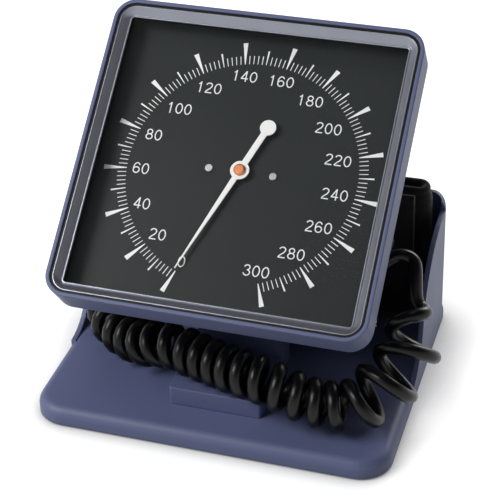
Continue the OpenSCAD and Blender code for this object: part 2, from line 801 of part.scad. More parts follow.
module sector_gear() {
    low = sector_top - sector_t;
    back = sweep / gear_ratio + 5;
    step = 4;
    teeth = floor((back + 5) / step);
    outline = concat(
        [[0, 0]],
        [for (i = [0:2 * teeth]) let (a = 95 - i * step / 2, r = sector_r - tooth_gap - (i % 2) * 0.4)
            [r * cos(a), r * sin(a)]]
    );
    color(brass_tone) in_gauge() translate([0, sector_u, 0]) difference() {
        union() {
            translate([0, 0, low]) linear_extrude(sector_t) polygon(outline);
            post(2.2, low, sector_top);
            translate([-6, -0.8, low]) cube([6, 1.6, sector_t]);
            post(arbor_r, base_bottom + 0.1, bridge_top - 0.1);
        }
        rotate(90 - back / 2) translate([sector_r * 0.62, 0, 0]) post(1.6, low - 1, sector_top + 1);
    }
}

hair_low = bridge_bottom - 1.9;
function hair_r(t) = 1.9 + 1.05 * t;

module hairspring() {
    steps = 14;
    n = floor(hair_turns * steps);
    wire = 0.16;
    inner = [for (i = [0:n]) let (t = i / steps) (hair_r(t) - wire / 2) * [cos(360 * t), sin(360 * t)]];
    outer = [for (i = [n:-1:0]) let (t = i / steps) (hair_r(t) + wire / 2) * [cos(360 * t), sin(360 * t)]];
    color("steelblue") in_gauge() rotate(-360 * hair_turns) translate([0, 0, hair_low]) linear_extrude(0.6)
        polygon(concat(inner, outer));
}

module pinion_spindle() {
    teeth = 10;
    outline = [for (i = [0:2 * teeth - 1]) let (r = pinion_r - tooth_gap - (i % 2) * 0.35)
        r * [cos(180 * i / teeth), sin(180 * i / teeth)]];
    color(steel) in_gauge() {
        post(spindle_r, base_bottom + 0.1, needle_low + 1.4);
        translate([0, 0, sector_top - sector_t - 0.6]) linear_extrude(sector_t + 1.2) polygon(outline);
        post(1.7, hair_low - 0.1, hair_low + 0.8);
    }
}

module pointer() {
    color("white") in_gauge() rotate(90 + zero_angle) difference() {
        union() {
            post(1.9, hub_low, needle_low + 0.2);
            post(hub_r, needle_low, needle_low + 0.8);
            translate([0, 0, needle_low]) linear_extrude(needle_t) {
                polygon([[0, -1.5], [pointer_r, -0.25], [pointer_r, 0.25], [0, 1.5]]);
                translate([-tail_r, -1.6]) square([tail_r, 3.2]);
                translate([-tail_r, 0]) circle(r = 4);
            }
        }
        post(spindle_r, 0, needle_low + 2);
    }
}

module pointer_cap() {
    color([0.72, 0.42, 0.28]) in_gauge() difference() {
        union() {
            post(cap_r, needle_low + 0.8, needle_low + 1.6);
            translate([0, 0, needle_low + 1.6]) cylinder(r1 = cap_r, r2 = cap_r - 0.7, h = 0.7);
        }
        post(spindle_r, needle_low, needle_low + 1.4);
    }
}

// Air line

module coiled_tube() {
    color(black) tube_along(coil_line, tube_d, 6);
}

module tube_lead() {
    start = inlet_end + inlet_way * tube_d;
    line = concat([inlet_end], smooth_route(concat([start], lead_route,
        [coil_line[0] - coil_in * tube_d]), 14), [coil_line[0]]);
    color(black) tube_along(line, tube_d, 8);
}

function on_cuff(x, h, out) = [
    x,
    wall_y + (cuff_wall_y - cuff_t - out) * cos(back_lean) - h * sin(back_lean),
    plate_z + (cuff_wall_y - cuff_t - out) * sin(back_lean) + h * cos(back_lean)
];
port_way = [0, cos(back_lean), sin(back_lean)];

module tube_tail() {
    tail_end = on_cuff(gauge_port_x, port_h, port_reach + connector_l);
    coil_end = coil_line[len(coil_line) - 1];
    line = concat([coil_end], smooth_route(concat([coil_end + coil_out * tube_d], tail_route,
        [tail_end - port_way * tube_d]), 9), [tail_end]);
    color(black) tube_along(line, tube_d, 8);
}

module tube_connector() {
    color("lightgray") at_cuff() translate([gauge_port_x, cuff_wall_y - cuff_t - port_reach, port_h])
        rotate([90, 0, 0]) difference() {
            union() {
                post(connector_r - 1, 0, connector_l);
                post(connector_r, 3, 7);
                post(connector_r, connector_l - 6, connector_l - 2);
            }
            post(1.5, -1, connector_l + 1);
        }
}

// Plan of a strip folded to and fro, with its rear layer first
module folded_plan(t, l, n) {
    for (i = [0:n - 1]) translate([-l / 2 + (layer_pitch + layer_t) / 2,
        -i * layer_pitch - layer_t / 2 - t / 2])
        square([l - layer_pitch - layer_t, t]);
    for (i = [0:n - 2]) translate([(i % 2 == 0 ? 1 : -1) * (l - layer_pitch - layer_t) / 2,
        -(i + 0.5) * layer_pitch - layer_t / 2])
        intersection() {
            difference() {
                circle(d = layer_pitch + t);
                circle(d = layer_pitch - t);
            }
            translate([i % 2 == 0 ? 0 : -layer_pitch, -layer_pitch]) square([layer_pitch, 2 * layer_pitch]);
        }
}

module cuff() {
    color(black) at_cuff() translate([0, cuff_wall_y, cuff_low]) difference() {
        linear_extrude(cuff_h) folded_plan(layer_t, cuff_l, layers);
        translate([0, 0, bladder_rim]) linear_extrude(cuff_h - 2 * bladder_rim)
            bladder_plan(bladder_t + 2 * fit_gap, soft_gap);
        for (x = [gauge_port_x, bulb_port_x])
            translate([x, -cuff_t + layer_t / 2, port_h - cuff_low]) rotate([90, 0, 0])
                post(2.6, 0, layer_t);
    }
}

module bladder_plan(t, grow) {
    end = cuff_l / 2 - layer_pitch - bladder_end;
    translate([-end - grow, -(layers - 1) * layer_pitch - layer_t / 2 - t / 2])
        square([2 * (end + grow), t]);
}

module bladder() {
    color("dimgray") at_cuff() translate([0, cuff_wall_y, cuff_low + bladder_rim + soft_gap])
        linear_extrude(cuff_h - 2 * (bladder_rim + soft_gap))
        bladder_plan(bladder_t, 0);
}

module bladder_ports() {
    color("dimgray") at_cuff() for (x = [gauge_port_x, bulb_port_x])
        translate([x, cuff_wall_y - cuff_t, port_h]) rotate([90, 0, 0]) difference() {
            post(2.5, -layer_t / 2 + bladder_t / 2, port_reach);
            post(1.3, -layer_t, port_reach + 1);
        }
}

module hook_patch() {
    color("dimgray") at_cuff() translate([patch_x, cuff_wall_y - cuff_t - patch_t, patch_low])
        cube([patch_l, patch_t, cuff_h - 1.6 * patch_low]);
}

module bulb_section(inset) {
    steps = 14;
    r = bulb_d / 2 - inset;
    l = bulb_l - 2 * inset;
    outline = [for (i = [0:steps]) let (t = i / steps)
        [max(0, bulb_neck_r - inset + (r - bulb_neck_r + inset) * pow(sin(180 * t), 0.62)),
            -l / 2 + l * t]];
    polygon(concat([[0, -l / 2]], outline, [[0, l / 2]]));
}

module bulb() {
    color(black) translate([bulb_x, bulb_y, bulb_z]) rotate([0, 90, 0]) difference() {
        rotate_extrude() bulb_section(0);
        rotate_extrude() bulb_section(bulb_t);
        post(4, -bulb_l / 2 - 1, -bulb_l / 2 + bulb_t + 1);
        post(4, bulb_l / 2 - bulb_t - 1, bulb_l / 2 + 1);
    }
}

module intake_valve() {
    color(steel) translate([bulb_x - bulb_l / 2, bulb_y, bulb_z]) rotate([0, -90, 0]) difference() {
        union() {
            post(6.5, 0, 3);
            post(4, -bulb_t - 3, 3);
        }
        post(1.5, -bulb_t - 4, 4);
    }
}

module release_valve_body() {
    color(steel) translate([valve_x, bulb_y, bulb_z]) difference() {
        union() {
            cross_bar(valve_r, 0, valve_l);
            cross_bar(4, -bulb_t - 3, 1);
            translate([nipple_x - valve_x, 0, 0]) post(3, 0, nipple_h);
        }
        cross_bar(needle_r + run_gap, needle_seat - 0.3, valve_l + 1);
        cross_bar(1.2, -bulb_t - 4, 7);
        translate([nipple_x - valve_x, 0, 0]) post(1.2, 0, nipple_h + 1);
    }
}

module valve_needle() {
    color(brass_tone) translate([valve_x, bulb_y, bulb_z]) cross_bar(needle_r, needle_seat, needle_end);
}

module release_screw() {
    grips = 16;
    color(steel) translate([valve_x, bulb_y, bulb_z]) {
        cross_bar(needle_r, needle_end + fit_gap, valve_l + 2);
        difference() {
            cross_bar(7, valve_l + 1, valve_l + 9);
            for (i = [0:grips - 1]) rotate([360 * i / grips, 0, 0]) translate([0, 7.3, 0])
                cross_bar(0.8, valve_l, valve_l + 10);
        }
    }
}

module bulb_tube() {
    nipple_end = [nipple_x, bulb_y, bulb_z + nipple_h];
    port_end = on_cuff(bulb_port_x, port_h, port_reach);
    line = concat([nipple_end], smooth_route(concat([nipple_end + [0, 0, tube_d]], bulb_route,
        [port_end - port_way * tube_d]), 12), [port_end]);
    color(black) tube_along(line, tube_d, 8);
}

stand_shell();
tilt_post();
post_screws();
rubber_feet();
rear_case();
front_bezel();
bezel_seal();
inner_rim();
lens();
lens_gasket();
dial_plate();
dial_screws();
case_screws();
tilt_bolt();
tilt_knob();
friction_washers();
movement_base();
movement_bridge();
movement_pillars();
pillar_screws();
movement_screws();
pressure_capsule();
hairspring();
inlet_fitting();
inner_tube();
pinion_spindle();
pointer();
pointer_cap();
sector_gear();
rocking_shaft();
capsule_pin();
tube_lead();
coiled_tube();
tube_tail();
tube_connector();
cuff();
bladder();
bladder_ports();
hook_patch();
bulb();
intake_valve();
release_valve_body();
valve_needle();
release_screw();
bulb_tube();
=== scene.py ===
import math

import bmesh
import bpy
from mathutils import Matrix, Vector


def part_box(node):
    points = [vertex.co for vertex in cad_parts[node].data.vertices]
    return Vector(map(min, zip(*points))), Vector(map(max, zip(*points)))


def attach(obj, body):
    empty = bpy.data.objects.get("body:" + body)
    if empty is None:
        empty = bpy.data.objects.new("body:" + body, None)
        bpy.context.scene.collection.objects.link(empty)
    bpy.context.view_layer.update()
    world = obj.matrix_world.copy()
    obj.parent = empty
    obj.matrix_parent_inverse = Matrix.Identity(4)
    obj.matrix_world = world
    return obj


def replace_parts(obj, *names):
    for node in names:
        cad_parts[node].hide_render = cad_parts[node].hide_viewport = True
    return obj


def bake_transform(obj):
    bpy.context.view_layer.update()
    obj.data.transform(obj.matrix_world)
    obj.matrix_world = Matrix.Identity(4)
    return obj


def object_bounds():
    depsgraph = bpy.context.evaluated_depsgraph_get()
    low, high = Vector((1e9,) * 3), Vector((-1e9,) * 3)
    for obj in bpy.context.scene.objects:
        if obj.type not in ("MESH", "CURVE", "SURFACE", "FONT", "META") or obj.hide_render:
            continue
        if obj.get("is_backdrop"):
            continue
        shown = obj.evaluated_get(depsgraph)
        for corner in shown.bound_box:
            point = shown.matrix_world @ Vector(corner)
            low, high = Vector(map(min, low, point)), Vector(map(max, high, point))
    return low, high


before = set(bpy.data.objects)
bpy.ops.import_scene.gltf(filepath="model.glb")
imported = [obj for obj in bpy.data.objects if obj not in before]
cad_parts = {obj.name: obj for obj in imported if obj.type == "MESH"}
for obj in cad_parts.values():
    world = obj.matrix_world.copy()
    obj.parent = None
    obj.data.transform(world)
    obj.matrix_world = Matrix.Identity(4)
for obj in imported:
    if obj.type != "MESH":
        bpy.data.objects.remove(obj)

bl_info = {
    "name": "Desk blood pressure gauge",
    "version": (1, 0, 0),
    "blender": (4, 5, 0),
    "location": "View3D > Sidebar > Gauge",
    "description": "Dresses the desk gauge: moulded stand, dial, needle, tubes, cuff and bulb",
    "category": "Object",
}

MM = 0.001
CAD_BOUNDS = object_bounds()
DIAL_LEAN = math.radians(38.6)
GAUGE = Matrix.Translation((0.0, -0.0035, 0.1164)) @ Matrix.Rotation(DIAL_LEAN, 4, "X")
BACK_LEAN = math.radians(5.5)
CUFF = Matrix.Translation((0.0, 0.069, 0.010)) @ Matrix.Rotation(BACK_LEAN, 4, "X")
CUFF_FOOT = 2.70
CUFF_CLEARANCE = 2.8
LAYER_GAP = 0.6
CUFF_STEPS = 44
POINTS_PER_CURL = 16
TUBE_SIDES = 12
# Ends of the tubes: in the gauge's own frame, in the shared frame, and as x, height and distance before the cuff
LEAD_INLET = Vector((-46, -40, -38))
BULB_NOZZLE = Vector((48.0, 19.7875, 42.9855))
CUFF_COUPLING = (64.0, 60.0, 19.0)
BULB_PORT = (-4.0, 60.0, 3.0)

# Routes of the tubes, in millimetres. The coil's also gives the advance of one curl and how far the curls open.
COIL_ROUTE = [
    (-74, 9, 22.8, 8.1, 0), (-74, 0, 22.8, 10.75, 0), (-70, -10, 22.8, 10.75, 0), (-63, -18, 22.8, 9.85, 0),
    (-54, -24, 23, 8.9, 0), (-45, -29, 25, 10.1, 0), (-36, -33, 28.8, 11.6, 0), (-27, -37, 32.6, 11.3, 0),
    (-17, -41, 33.2, 8.6, 0), (-8, -44, 33.2, 7.95, 0), (2, -47, 33.2, 7.8, 0), (12, -50, 33.2, 8.7, 0),
    (22, -52.5, 33.3, 9.2, 0), (31, -54, 32, 9.6, 0), (41, -54.5, 28.8, 9.2, 0), (51, -54, 26.2, 9.1, 0),
    (61, -52.5, 25, 9.4, 0.1), (70, -49, 25.5, 14.5, 0.5), (78, -43, 30, 16.2, 0.9), (85, -35, 36, 17.7, 1),
    (89, -25, 43, 18.2, 1), (90, -14, 51, 18.2, 1), (87, -4, 59, 16.2, 0.7),
]
CURLS = 22
# The part of the first and of the last curl over which it opens from the axis, and the way the curls are turned to
EASED_CURL = 0.75
CURL_UP = Vector((-0.5, -0.6, 1.0))
LEAD_ROUTE = ((-52, -1, 50), (-60, 9, 46), (-68, 20, 42), (-74, 29, 36), (-76, 32, 29), (-75.5, 29, 24))
TAIL_ROUTE = ((83, 7.5, 74), (76, 7.5, 75.5), (69.5, 5, 72), (65, 5.5, 67))
BULB_ROUTE = ((48, 20, 53), (45, 21, 61), (36, 22, 67), (23, 21, 70), (11, 18, 69.5), (2, 17, 68.5), (-3, 21, 67))


def srgb(r, g, b):
    """A colour read off, as linear light."""
    return tuple(((c + 0.055) / 1.055) ** 2.4 if c > 0.04045 else c / 12.92 for c in (r, g, b)) + (1.0,)


# Settings


class DialSettings(bpy.types.PropertyGroup):
    digit_height: bpy.props.FloatProperty(
        name="Digit height", description="Height of the numbers", default=5.7 * MM, unit="LENGTH"
    )
    digit_ring: bpy.props.FloatProperty(
        name="Number ring", description="Radius of the ring of numbers", default=48.6 * MM, unit="LENGTH"
    )
    tick_foot: bpy.props.FloatProperty(
        name="Tick foot", description="Radius at which the graduation starts", default=57.0 * MM, unit="LENGTH"
    )
    print_height: bpy.props.FloatProperty(
        name="Print height", description="Thickness of the printed ink", default=0.06 * MM, unit="LENGTH"
    )
    enamel: bpy.props.FloatVectorProperty(
        name="Dial colour", description="Colour of the dial", default=srgb(0.085, 0.105, 0.105), size=4, subtype="COLOR"
    )


class CaseSettings(bpy.types.PropertyGroup):
    rounding: bpy.props.FloatProperty(
        name="Edge rounding", description="Radius of the moulded edges", default=1.1 * MM, unit="LENGTH"
    )
    blue: bpy.props.FloatVectorProperty(
        name="Moulding colour", description="Colour of the mouldings", default=srgb(0.345, 0.375, 0.515), size=4,
        subtype="COLOR",
    )


class TubeSettings(bpy.types.PropertyGroup):
    diameter: bpy.props.FloatProperty(
        name="Tube diameter", description="Outer diameter of the tube", default=6.8 * MM, unit="LENGTH"
    )
    curl: bpy.props.FloatProperty(
        name="Curl radius", description="Mean radius of the close curls", default=8.8 * MM, unit="LENGTH"
    )
    wide_curl: bpy.props.FloatProperty(
        name="Open curl radius", description="Mean radius of the open curls", default=12.5 * MM, unit="LENGTH"
    )
    colour: bpy.props.FloatVectorProperty(
        name="Tube colour", description="Colour of the tube", default=srgb(0.022, 0.022, 0.024), size=4, subtype="COLOR"
    )


class CuffSettings(bpy.types.PropertyGroup):
    length: bpy.props.FloatProperty(
        name="Folded length", description="Length of the folded cuff", default=167.6 * MM, unit="LENGTH"
    )
    height: bpy.props.FloatProperty(
        name="Cuff height", description="Width of the cuff's cloth", default=78.6 * MM, unit="LENGTH"
    )
    pitch: bpy.props.FloatProperty(
        name="Fold pitch", description="Distance from layer to layer", default=7.6 * MM, unit="LENGTH"
    )
    cloth: bpy.props.FloatVectorProperty(
        name="Cloth colour", description="Colour of the cloth", default=srgb(0.045, 0.045, 0.05), size=4,
        subtype="COLOR",
    )


class StageSettings(bpy.types.PropertyGroup):
    key_power: bpy.props.FloatProperty(
        name="Key power", description="Power of the key lamp", default=12.5, unit="POWER"
    )
    fill_power: bpy.props.FloatProperty(
        name="Fill power", description="Power of the fill lamp", default=1.6, unit="POWER"
    )
    rear_power: bpy.props.FloatProperty(
        name="Rear power", description="Power of the lamp behind", default=7.0, unit="POWER"
    )
    sky: bpy.props.FloatProperty(name="Sky", description="Strength of the light from all round", default=0.152)


SETTINGS = {
    "gauge_dial": DialSettings,
    "gauge_case": CaseSettings,
    "gauge_tube": TubeSettings,
    "gauge_cuff": CuffSettings,
    "gauge_stage": StageSettings,
}


# Shader helpers


class Value:
    """A socket with the usual operators, each of which adds a Math node."""

    def __init__(self, finish, socket):
        self.finish, self.socket = finish, socket

    def _math(self, operation, a, b=None):
        node = self.finish.node("ShaderNodeMath", {"operation": operation}, [a] if b is None else [a, b])
        return Value(self.finish, node.outputs[0])

    def __add__(self, other):
        return self._math("ADD", self, other)

    def __radd__(self, other):
        return self._math("ADD", other, self)

    def __sub__(self, other):
        return self._math("SUBTRACT", self, other)

    def __rsub__(self, other):
        return self._math("SUBTRACT", other, self)

    def __mul__(self, other):
        return self._math("MULTIPLY", self, other)

    def __rmul__(self, other):
        return self._math("MULTIPLY", other, self)

    def sine(self):
        return self._math("SINE", self)

    def absolute(self):
        return self._math("ABSOLUTE", self)


class NodeTree:
    """A tree of shader nodes, built a node at a time."""

    def __init__(self, tree):
        self.tree = tree
        tree.nodes.clear()

    def put(self, socket, value):
        if isinstance(value, Value):
            self.tree.links.new(value.socket, socket)
        elif isinstance(value, bpy.types.NodeSocket):
            self.tree.links.new(value, socket)
        else:
            socket.default_value = value

    def node(self, kind, settings=None, values=()):
        node = self.tree.nodes.new(kind)
        for key, value in (settings or {}).items():
            setattr(node, key, value)
        pairs = values.items() if isinstance(values, dict) else enumerate(values)
        for key, value in pairs:
            self.put(node.inputs[key], value)
        return node

    def value(self, node, output=0):
        return Value(self, node.outputs[output])

    def place(self, scale=(1.0, 1.0, 1.0), turn=(0.0, 0.0, 0.0), uv=False):
        source = self.node("ShaderNodeTexCoord").outputs["UV" if uv else "Object"]
        return self.node("ShaderNodeMapping", None, {"Vector": source, "Scale": scale, "Rotation": turn}).outputs[0]

    def noise(self, place, scale, detail=2.0, rough=0.5):
        inputs = {"Vector": place, "Scale": scale, "Detail": detail, "Roughness": rough}
        return self.value(self.node("ShaderNodeTexNoise", None, inputs))

    def mix(self, factor, a, b):
        node = self.node("ShaderNodeMix", {"data_type": "RGBA"}, {"Factor": factor})
        self.put(node.inputs[6], a)
        self.put(node.inputs[7], b)
        return node.outputs[2]

    def rounded(self, radius, samples=6):
        return self.node("ShaderNodeBevel", {"samples": samples}, {"Radius": radius}).outputs[0]

    def bump(self, height, distance, strength=1.0, normal=None):
        values = {"Height": height, "Distance": distance, "Strength": strength}
        if normal is not None:
            values["Normal"] = normal
        return self.node("ShaderNodeBump", None, values).outputs[0]

    def seen(self):
        """1 on the rays that show the backdrop: the camera's own, and those off gloss and through glass."""
        paths = self.node("ShaderNodeLightPath")
        seen = self.value(paths, "Is Camera Ray") + self.value(paths, "Is Glossy Ray")
        return seen + self.value(paths, "Is Transmission Ray")


class Finish(NodeTree):
    """A material with one Principled shader."""

    def __init__(self, name):
        self.material = bpy.data.materials.new(name)
        self.material.use_nodes = True
        super().__init__(self.material.node_tree)
        self.shader = self.node("ShaderNodeBsdfPrincipled")
        self.output = self.node("ShaderNodeOutputMaterial", None, [self.shader.outputs[0]])

    def set(self, **sockets):
        for key, value in sockets.items():
            self.put(self.shader.inputs[key.replace("_", " ")], value)


def shade(colour, k):
    return tuple(min(1.0, c * k) for c in colour[:3]) + (1.0,)


def moulded_plastic(name, colour, rounding=0.9 * MM, gloss=0.34):
    """Spark-textured plastic with a few handling marks and rounded edges."""
    f = Finish(name)
    place = f.place()
    broad = f.noise(place, 22.0, 3.0)
    grain = f.noise(place, 2600.0, 1.0)
    marks = f.noise(f.place((40.0, 900.0, 40.0), (0.3, 0.2, 0.7)), 1.0, 3.0, 0.7)
    f.set(
        Base_Color=f.mix(broad * 0.9, shade(colour, 0.93), shade(colour, 1.06)),
        Roughness=gloss + broad * 0.10 + marks * 0.10,
        Specular_IOR_Level=0.5,
        Normal=f.bump(grain, 0.02 * MM, 0.35, f.rounded(rounding)),
    )
    return f.material


def metal(name, colour, rough=0.24, lines=(20.0, 1200.0, 1200.0), line_depth=0.03 * MM, rounding=0.25 * MM, bare=1.0):
    """Turned or drawn metal with fine lines one way."""
    f = Finish(name)
    drawn = f.noise(f.place(lines), 1.0, 2.0, 0.6)
    stain = f.noise(f.place(), 60.0, 3.0)
    f.set(
        Base_Color=f.mix(stain, shade(colour, 0.88), shade(colour, 1.05)),
        Metallic=bare,
        Roughness=rough + drawn * 0.12 + stain * 0.06,
        Normal=f.bump(drawn, line_depth, 0.25, f.rounded(rounding)),
    )
    return f.material


def rubber(name, colour, gloss, bump_scale=900.0, depth=0.05 * MM, coat=0.0, rounding=None):
    """Moulded rubber: smooth skin with fine pores and a bloom of dust."""
    f = Finish(name)
    place = f.place()
    bloom = f.noise(place, 35.0, 4.0, 0.6)
    pores = f.noise(place, bump_scale, 2.0)
    f.set(
        Base_Color=f.mix(bloom, shade(colour, 0.8), shade(colour, 1.35)),
        Roughness=gloss + bloom * 0.14,
        Specular_IOR_Level=0.22,
        Coat_Weight=coat,
        Coat_Roughness=0.14,
        Normal=f.bump(pores, depth, 0.3, None if rounding is None else f.rounded(rounding)),
    )
    return f.material


def enamel(name, colour):
    """Dial enamel: nearly matt, with a very fine speckle."""
    f = Finish(name)
    place = f.place()
    cloud = f.noise(place, 14.0, 2.0)
    speck = f.noise(place, 3800.0, 1.0)
    f.set(
        Base_Color=f.mix(cloud * 0.6 + speck * 0.4, shade(colour, 0.85), shade(colour, 1.15)),
        Roughness=0.42 + speck * 0.12,
        Specular_IOR_Level=0.2,
        Normal=f.bump(speck, 0.01 * MM, 0.3),
    )
    return f.material


def ink(name, colour):
    """Printed ink or white lacquer with a little unevenness."""
    f = Finish(name)
    place = f.place()
    body = f.noise(place, 900.0, 2.0)
    f.set(
        Base_Color=f.mix(body, shade(colour, 0.9), shade(colour, 1.04)),
        Roughness=0.45 + body * 0.1,
        Normal=f.bump(body, 0.01 * MM, 0.2),
    )
    return f.material


def clear_glass(name):
    """The dial's glass, with a faint film of dust."""
    f = Finish(name)
    film = f.noise(f.place(), 18.0, 4.0, 0.6)
    f.set(
        Base_Color=srgb(0.93, 0.96, 0.97),
        Roughness=0.03 + film * 0.05,
        Alpha=0.003 + film * 0.008,
        Specular_IOR_Level=0.45,
        Normal=f.bump(film, 0.02 * MM, 0.05),
    )
    return f.material


def translucent(name):
    """Clear moulded plastic of a tube coupling."""
    f = Finish(name)
    cloud = f.noise(f.place(), 90.0, 2.0)
    f.set(
        Base_Color=f.mix(cloud, srgb(0.80, 0.82, 0.82), srgb(0.92, 0.93, 0.93)),
        Roughness=0.16 + cloud * 0.1,
        Transmission_Weight=0.55,
        IOR=1.46,
        Normal=f.rounded(0.3 * MM),
    )
    return f.material


def woven(name, colour, pitch=0.9):
    """Plain weave on the piece's own UV map, which is in millimetres."""
    f = Finish(name)
    uv = f.place((1.0, 1.0, 1.0), uv=True)
    apart = f.node("ShaderNodeSeparateXYZ", None, [uv])
    across, along = f.value(apart, 0), f.value(apart, 1)
    step = 2.0 * math.pi / pitch
    warp = (across * step).sine().absolute()
    weft = (along * step).sine().absolute()
    over = (across * (step / 2)).sine() * (along * (step / 2)).sine()
    thread = warp * 0.5 + weft * 0.5 + over * 0.35
    lint = f.noise(f.place(), 700.0, 3.0, 0.7)
    cloud = f.noise(f.place(), 24.0, 3.0)
    f.set(
        Base_Color=f.mix(thread * 0.7 + cloud * 0.3, shade(colour, 0.6), shade(colour, 1.5)),
        Roughness=0.8 + lint * 0.15,
        Sheen_Weight=0.35,
        Sheen_Roughness=0.4,
        Specular_IOR_Level=0.25,
        Normal=f.bump(thread + lint * 0.5, 0.18 * MM, 0.7),
    )
    return f.material


def looped(name, colour):
    """Loop-pile fastening cloth."""
    f = Finish(name)
    place = f.place()
    cells = f.node("ShaderNodeTexVoronoi", {"feature": "F1"}, {"Vector": place, "Scale": 1100.0})
    pile = f.value(cells, 0)
    fuzz = f.noise(place, 1500.0, 3.0, 0.7)
    f.set(
        Base_Color=f.mix(pile * 0.8 + fuzz * 0.2, shade(colour, 1.6), shade(colour, 0.6)),
        Roughness=0.92,
        Sheen_Weight=0.5,
        Sheen_Roughness=0.5,
        Specular_IOR_Level=0.2,
        Normal=f.bump(pile * -1.0 + fuzz, 0.4 * MM, 0.8),
    )
    return f.material


# Mesh helpers


def piece(name, mesh, material, body="stand", angle=38.0):
    """Puts a finished mesh in the scene, smooth up to the angle, and lets it ride on its body."""
    obj = bpy.data.objects.new(name, mesh)
    bpy.context.scene.collection.objects.link(obj)
    mesh.materials.clear()
    mesh.materials.append(material)
    if angle is not None:
        for face in mesh.polygons:
            face.use_smooth = True
        mesh.set_sharp_from_angle(angle=math.radians(angle))
    if body is not None:
        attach(obj, body)
    return obj


def as_mesh(bm, name, place=None):
    if place is not None:
        bm.transform(place)
    mesh = bpy.data.meshes.new(name)
    bm.to_mesh(mesh)
    bm.free()
    return mesh


def spline(a, b, c, d, t):
    return tuple(
        0.5 * (2 * q + t * (r - p) + t * t * (2 * p - 5 * q + 4 * r - s) + t ** 3 * (3 * q - 3 * r + s - p))
        for p, q, r, s in zip(a, b, c, d)
    )


def route_at(points, s):
    last = len(points) - 1
    k = min(last - 1, int(s * last))
    t = s * last - k
    before = points[k - 1] if k > 0 else tuple(2 * p - q for p, q in zip(points[0], points[1]))
    after = points[k + 2] if k < last - 1 else tuple(2 * p - q for p, q in zip(points[last], points[last - 1]))
    return spline(before, points[k], points[k + 1], after, t)


def smooth_route(points, n):
    return [Vector(route_at([tuple(p) for p in points], i / n)) for i in range(n + 1)]


def curl_line(settings, steps):
    """The centre line of the coiled tube, in millimetres, with so many points to a curl."""
    curl, wide = settings.curl / MM, settings.wide_curl / MM
    last = len(COIL_ROUTE) - 1
    samples = 8 * last
    fine = [route_at(COIL_ROUTE, i / samples) for i in range(samples + 1)]
    count = [0.0]
    for a, b in zip(fine, fine[1:]):
        count.append(count[-1] + (Vector(b[:3]) - Vector(a[:3])).length / b[3])
    n = CURLS * steps
    line = []
    for i in range(n + 1):
        target, k = count[-1] * i / n, 0
        while k < len(count) - 2 and count[k + 1] < target:
            k += 1
        s = min(1.0, (k + (target - count[k]) / (count[k + 1] - count[k])) / (len(count) - 1))
        here, step = route_at(COIL_ROUTE, s), 0.1 / last
        ahead, behind = route_at(COIL_ROUTE, min(1.0, s + step)), route_at(COIL_ROUTE, max(0.0, s - step))
        way = (Vector(ahead[:3]) - Vector(behind[:3])).normalized()
        side = way.cross(CURL_UP).normalized()
        up = side.cross(way)
        turn = (i / steps + 0.5) * 2 * math.pi
        rise = [min(1.0, max(0.0, e / EASED_CURL)) for e in (i / steps, (n - i) / steps)]
        ease = math.prod(e * e * (3 - 2 * e) for e in rise)
        radius = (curl + here[4] * (wide - curl)) * ease
        line.append(Vector(here[:3]) + radius * (math.cos(turn) * side - math.sin(turn) * up))
    return line


def softened(line, *spans, rounds=14):
    """Eases the kinks out of stretches of a line, each given by its first and last point, most in its middle."""
    for _ in range(rounds):
        for first, last in spans:
            before = list(line)
            for i in range(first, last + 1):
                share = 0.5 * math.sin(math.pi * (i - first + 1) / (last - first + 2))
                line[i] = before[i].lerp((before[i - 1] + before[i + 1]) / 2, share)
    return line


def drawn_mesh(curve, name, place=Matrix.Identity(4)):
    """Turns a curve into a mesh and removes the curve."""
    drawn = bpy.data.objects.new(name + "_drawn", curve)
    bpy.context.scene.collection.objects.link(drawn)
    mesh = bpy.data.meshes.new_from_object(drawn.evaluated_get(bpy.context.evaluated_depsgraph_get()))
    bpy.data.objects.remove(drawn)
    bpy.data.curves.remove(curve)
    mesh.name = name
    mesh.transform(place)
    return mesh


def tube(name, line, diameter, material, body="stand"):
    """A tube along a line in metres, as a mesh made from one open curve."""
    curve = bpy.data.curves.new(name + "_line", "CURVE")
    curve.dimensions = "3D"
    stretch = curve.splines.new("POLY")
    stretch.points.add(len(line) - 1)
    for point, place in zip(stretch.points, line):
        point.co = (*place, 1.0)
    curve.bevel_depth = diameter / 2
    curve.bevel_resolution = TUBE_SIDES // 2 - 2
    curve.use_fill_caps = True
    return piece(name, drawn_mesh(curve, name), material, body, angle=50.0)


def line_length(line):
    return sum((b - a).length for a, b in zip(line, line[1:]))


def on_cuff(x, h, out, settings):
    """A point in front of the folded cuff, in millimetres."""
    depth = -CUFF_CLEARANCE - (3 * settings.pitch / MM - LAYER_GAP) - out
    return Vector((
        x, 69.0 + depth * math.cos(BACK_LEAN) - h * math.sin(BACK_LEAN),
        10.0 + depth * math.sin(BACK_LEAN) + h * math.cos(BACK_LEAN),
    ))


def finish_nodes(materials):
    """Gives CAD nodes their materials."""
    for node, material in materials.items():
        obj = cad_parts[node]
        for held in obj.material_slots:
            held.material = material
        if not obj.material_slots:
            obj.data.materials.append(material)


# Operators


